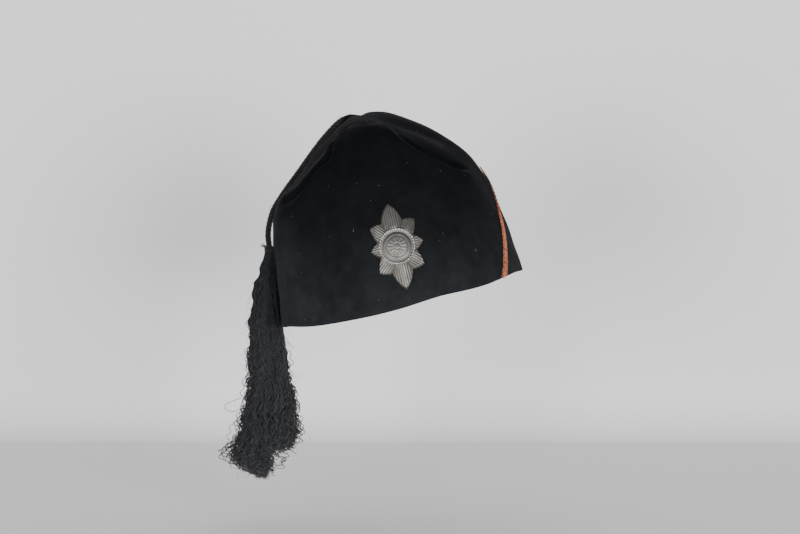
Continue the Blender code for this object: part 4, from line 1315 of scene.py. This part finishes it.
class FEZ_OT_chevron(bpy.types.Operator):
    """Adds the ribbed ribbon sewn on as a chevron"""

    bl_idname = "fez.chevron"
    bl_label = "Ribbon chevron"

    def execute(self, context):
        settings = context.scene.fez_ribbon
        arm = hypot(CHEVRON_FORWARD, CHEVRON_APEX)
        ribs = 2 * arm / settings.rib
        along = np.linspace(0.0, 2.0, 761)[:, None]
        turn = np.linspace(0.0, 2 * pi, 29)[:-1][None, :]
        # The section is a flat oval with square shoulders, and each rib is a low wave on it
        across, thick = squared(np.cos(turn), 0.35), squared(np.sin(turn), 0.35)
        wave = np.cos(pi * ribs * along)
        top = settings.thickness * (0.85 + 0.15 * wave)
        lift = np.where(thick > 0, top, settings.thickness * 0.5) * (0.5 + 0.5 * thick)
        left, soil = ribbon_wear(along)
        # The corner at the apex has come loose and stands off the felt
        loose = np.interp(1 - np.abs(1 - along), (0.94, 0.98), (0.0, 0.0003))
        lift = SEAT_GAP + lift + np.where(thick > 0, loose, 0.0)
        # Its edges are ragged where it is worn, and elsewhere follow the ribs and the sewing
        ragged = (1 - left) * 0.25 * np.sin(along * 61) * np.sin(along * 137 + 3 * across)
        sewn = 0.012 * wave + 0.02 * np.sin(along * 23) * np.sin(along * 57)
        points = chevron_point(settings, along, across * (left + ragged + sewn), lift)
        points, faces = closed_grid(points)
        marks = {"soil": np.append(np.repeat(soil, turn.size), soil[[0, -1], 0])}
        names = ("chevron_ribbon", "side_chevron", "ribbon")
        add_piece(*names, ribbon_look(settings), to_world(points), faces, marks=marks)
        return {"FINISHED"}


class FEZ_OT_stitches(bpy.types.Operator):
    """Adds the running stitches along both edges of the ribbon, whose dark colour also stands in
    for the shade beside the ribbon's raised edges, and the threads that have frayed from its feet"""

    bl_idname = "fez.stitches"
    bl_label = "Ribbon stitches"

    def execute(self, context):
        settings = context.scene.fez_ribbon
        arm = hypot(CHEVRON_FORWARD, CHEVRON_APEX)
        starts = np.arange(settings.stitch / 2, 2 * arm - settings.stitch, settings.stitch) / arm
        share = np.linspace(0.0, 1.0, 9)
        along = (starts[:, None] + share * 0.6 * settings.stitch / arm)[None]
        across = 0.90 * ribbon_wear(along)[0] * np.array([-1.0, 1.0])[:, None, None]
        lift = SEAT_GAP + settings.thickness * (0.45 + 0.75 * np.sin(pi * share) ** 0.5)
        paths = chevron_point(settings, along, across, lift).reshape(-1, len(share), 3)
        # One long stitch crosses the front foot
        over = SEAT_GAP + 1.3 * settings.thickness
        crossing = chevron_point(settings, 0.085 + 0.035 * share, 1.7 * share - 0.85, over)
        paths = to_world(np.concatenate([paths, crossing[None]]))
        # The dark stitches along the edges are partly painted shade beside the ribbon's raised edges
        look = thread_look(settings.thread_colour, "dark_thread_and_edge_shade")
        add_tubes("chevron_stitches", "side_chevron", None, look, paths, SEWING_THREAD, 6)
        draw = np.random.default_rng(17)
        # How many threads hang at each foot, and how far up the arm they are rooted
        threads, root = 14, 0.004
        foot = np.repeat([0.0, 2.0], threads)[:, None]
        inward = np.where(foot > 1, -1.0, 1.0)
        reach = draw.uniform(0.0010, 0.0024, foot.shape) / arm
        along = foot + inward * (root - reach * share)
        across = draw.uniform(-0.95, 0.95, foot.shape)
        across = across + draw.uniform(-0.25, 0.25, foot.shape) * share
        on_felt = np.clip(along, 0.0, 2.0)
        points = to_world(chevron_point(settings, on_felt, across, SEAT_GAP + 0.0003))
        # Below the felt's edge the threads hang straight on from it
        points[..., 2] -= np.abs(along - on_felt) * arm
        look = thread_look(settings.ribbon_colour, "frayed_ribbon_thread")
        add_tubes("chevron_fray", "side_chevron", "ribbon", look, points, FRAYED_THREAD, 5)
        return {"FINISHED"}


class FEZ_OT_stage(bpy.types.Operator):
    """Adds the pale paper sweep, the soft lights and the camera"""

    bl_idname = "fez.stage"
    bl_label = "Stage"

    def execute(self, context):
        settings = context.scene.fez_stage
        add_sweep(settings)
        add_light("left_softbox", (-0.68, -1.45, 0.02), 0.50, 21.0)
        add_light("right_softbox", (0.62, -1.50, 0.02), 0.60, 29.5)
        world = bpy.data.worlds.new("studio")
        context.scene.world = world
        world.use_nodes = True
        background = world.node_tree.nodes["Background"].inputs
        background["Color"].default_value = rgba(linear("E4E6EA"))
        background["Strength"].default_value = 0.42
        camera = bpy.data.cameras.new("camera")
        camera.lens = LENS
        camera.sensor_width = 36.0
        holder = add_object("camera", camera)
        across, away, above = CAMERA_AIM
        away -= CAMERA_DISTANCE * cos(CAMERA_RISE)
        above += CAMERA_DISTANCE * sin(CAMERA_RISE)
        holder.location = (across, away, above)
        holder.rotation_euler = (pi / 2 - CAMERA_RISE, 0.0, 0.0)
        context.scene.camera = holder
        return {"FINISHED"}


def add_sweep(settings):
    """A sheet of paper that runs level under the hat, curves up behind it as a quarter circle
    and goes on straight up. Its back is see-through, so that the hat shows from every side."""
    floor = -settings.floor_drop
    near, far, bend, top = -2.5, 0.37, 0.04, 2.5
    turn = np.linspace(0.0, pi / 2, 24)
    depth = np.concatenate([[near], far + bend * np.sin(turn), [far + bend]])
    height = np.concatenate([[0.0], bend * (1 - np.cos(turn)), [top]]) + floor
    across = np.linspace(-3.0, 3.0, 3)
    places = np.broadcast_arrays(across, depth[:, None], height[:, None])
    points = np.stack(places, axis=-1)
    look, tree, shader = new_look("matt_paper", Roughness=0.9, Specular_IOR_Level=0.2)
    # Its tone drifts over two thirds of a metre
    mottle = noise(tree, 2 / 3, 2.0)
    tint = mixed(tree, mottle, rgba(settings.paper_colour, 0.97), rgba(settings.paper_colour, 1.03))
    dress(tree, shader, tint)
    behind = node(tree, "NewGeometry", {}).outputs["Backfacing"]
    clear = node(tree, "BsdfTransparent", {}).outputs[0]
    either = node(tree, "MixShader", {0: behind, 1: shader.outputs[0], 2: clear}).outputs[0]
    tree.links.new(either, tree.nodes["Material Output"].inputs["Surface"])
    mesh = bpy.data.meshes.new("paper_sweep")
    faces = grid_faces(*points.shape[:2], wrap=False)
    mesh.from_pydata(points.reshape(-1, 3).tolist(), [], faces.tolist())
    mesh.shade_smooth()
    mesh.materials.append(look)
    add_object("paper_sweep", mesh)


def add_light(name, place, size, watts):
    """A square soft light that faces the hat."""
    light = bpy.data.lights.new(name, "AREA")
    light.size = size
    light.energy = watts
    holder = add_object(name, light)
    holder.location = place
    towards = np.array(CAMERA_AIM) - place
    flat = hypot(towards[0], towards[1])
    holder.rotation_euler = (atan2(flat, -towards[2]), 0.0, atan2(towards[1], towards[0]) - pi / 2)


class FEZ_PT_panel(bpy.types.Panel):
    """Lists the pieces and the sizes that they are made with"""

    bl_label = "Felt fez"
    bl_idname = "FEZ_PT_panel"
    bl_space_type = "VIEW_3D"
    bl_region_type = "UI"
    bl_category = "Fez"

    def draw(self, context):
        for name, group in SETTINGS.items():
            box = self.layout.box()
            for operator, owner in OPERATORS:
                if owner == name:
                    box.operator(operator.bl_idname)
            for size in group.__annotations__:
                box.prop(getattr(context.scene, name), size)


OPERATORS = (
    (FEZ_OT_stage, "fez_stage"),
    (FEZ_OT_cord, "fez_cord"),
    (FEZ_OT_binding, "fez_cord"),
    (FEZ_OT_tassel, "fez_tassel"),
    (FEZ_OT_crown, "fez_crown"),
    (FEZ_OT_nub, "fez_crown"),
    (FEZ_OT_lint, "fez_crown"),
    (FEZ_OT_badge, "fez_badge"),
    (FEZ_OT_chevron, "fez_ribbon"),
    (FEZ_OT_stitches, "fez_ribbon"),
)


def register():
    for name, group in SETTINGS.items():
        bpy.utils.register_class(group)
        setattr(bpy.types.Scene, name, bpy.props.PointerProperty(type=group))
    for operator, _ in OPERATORS:
        bpy.utils.register_class(operator)
    bpy.utils.register_class(FEZ_PT_panel)


def unregister():
    bpy.utils.unregister_class(FEZ_PT_panel)
    for operator, _ in reversed(OPERATORS):
        bpy.utils.unregister_class(operator)
    for name, group in reversed(list(SETTINGS.items())):
        delattr(bpy.types.Scene, name)
        bpy.utils.unregister_class(group)


def main():
    register()
    for operator, _ in OPERATORS:
        group, action = operator.bl_idname.split(".")
        getattr(getattr(bpy.ops, group), action)()


if __name__ == "__main__":
    main()
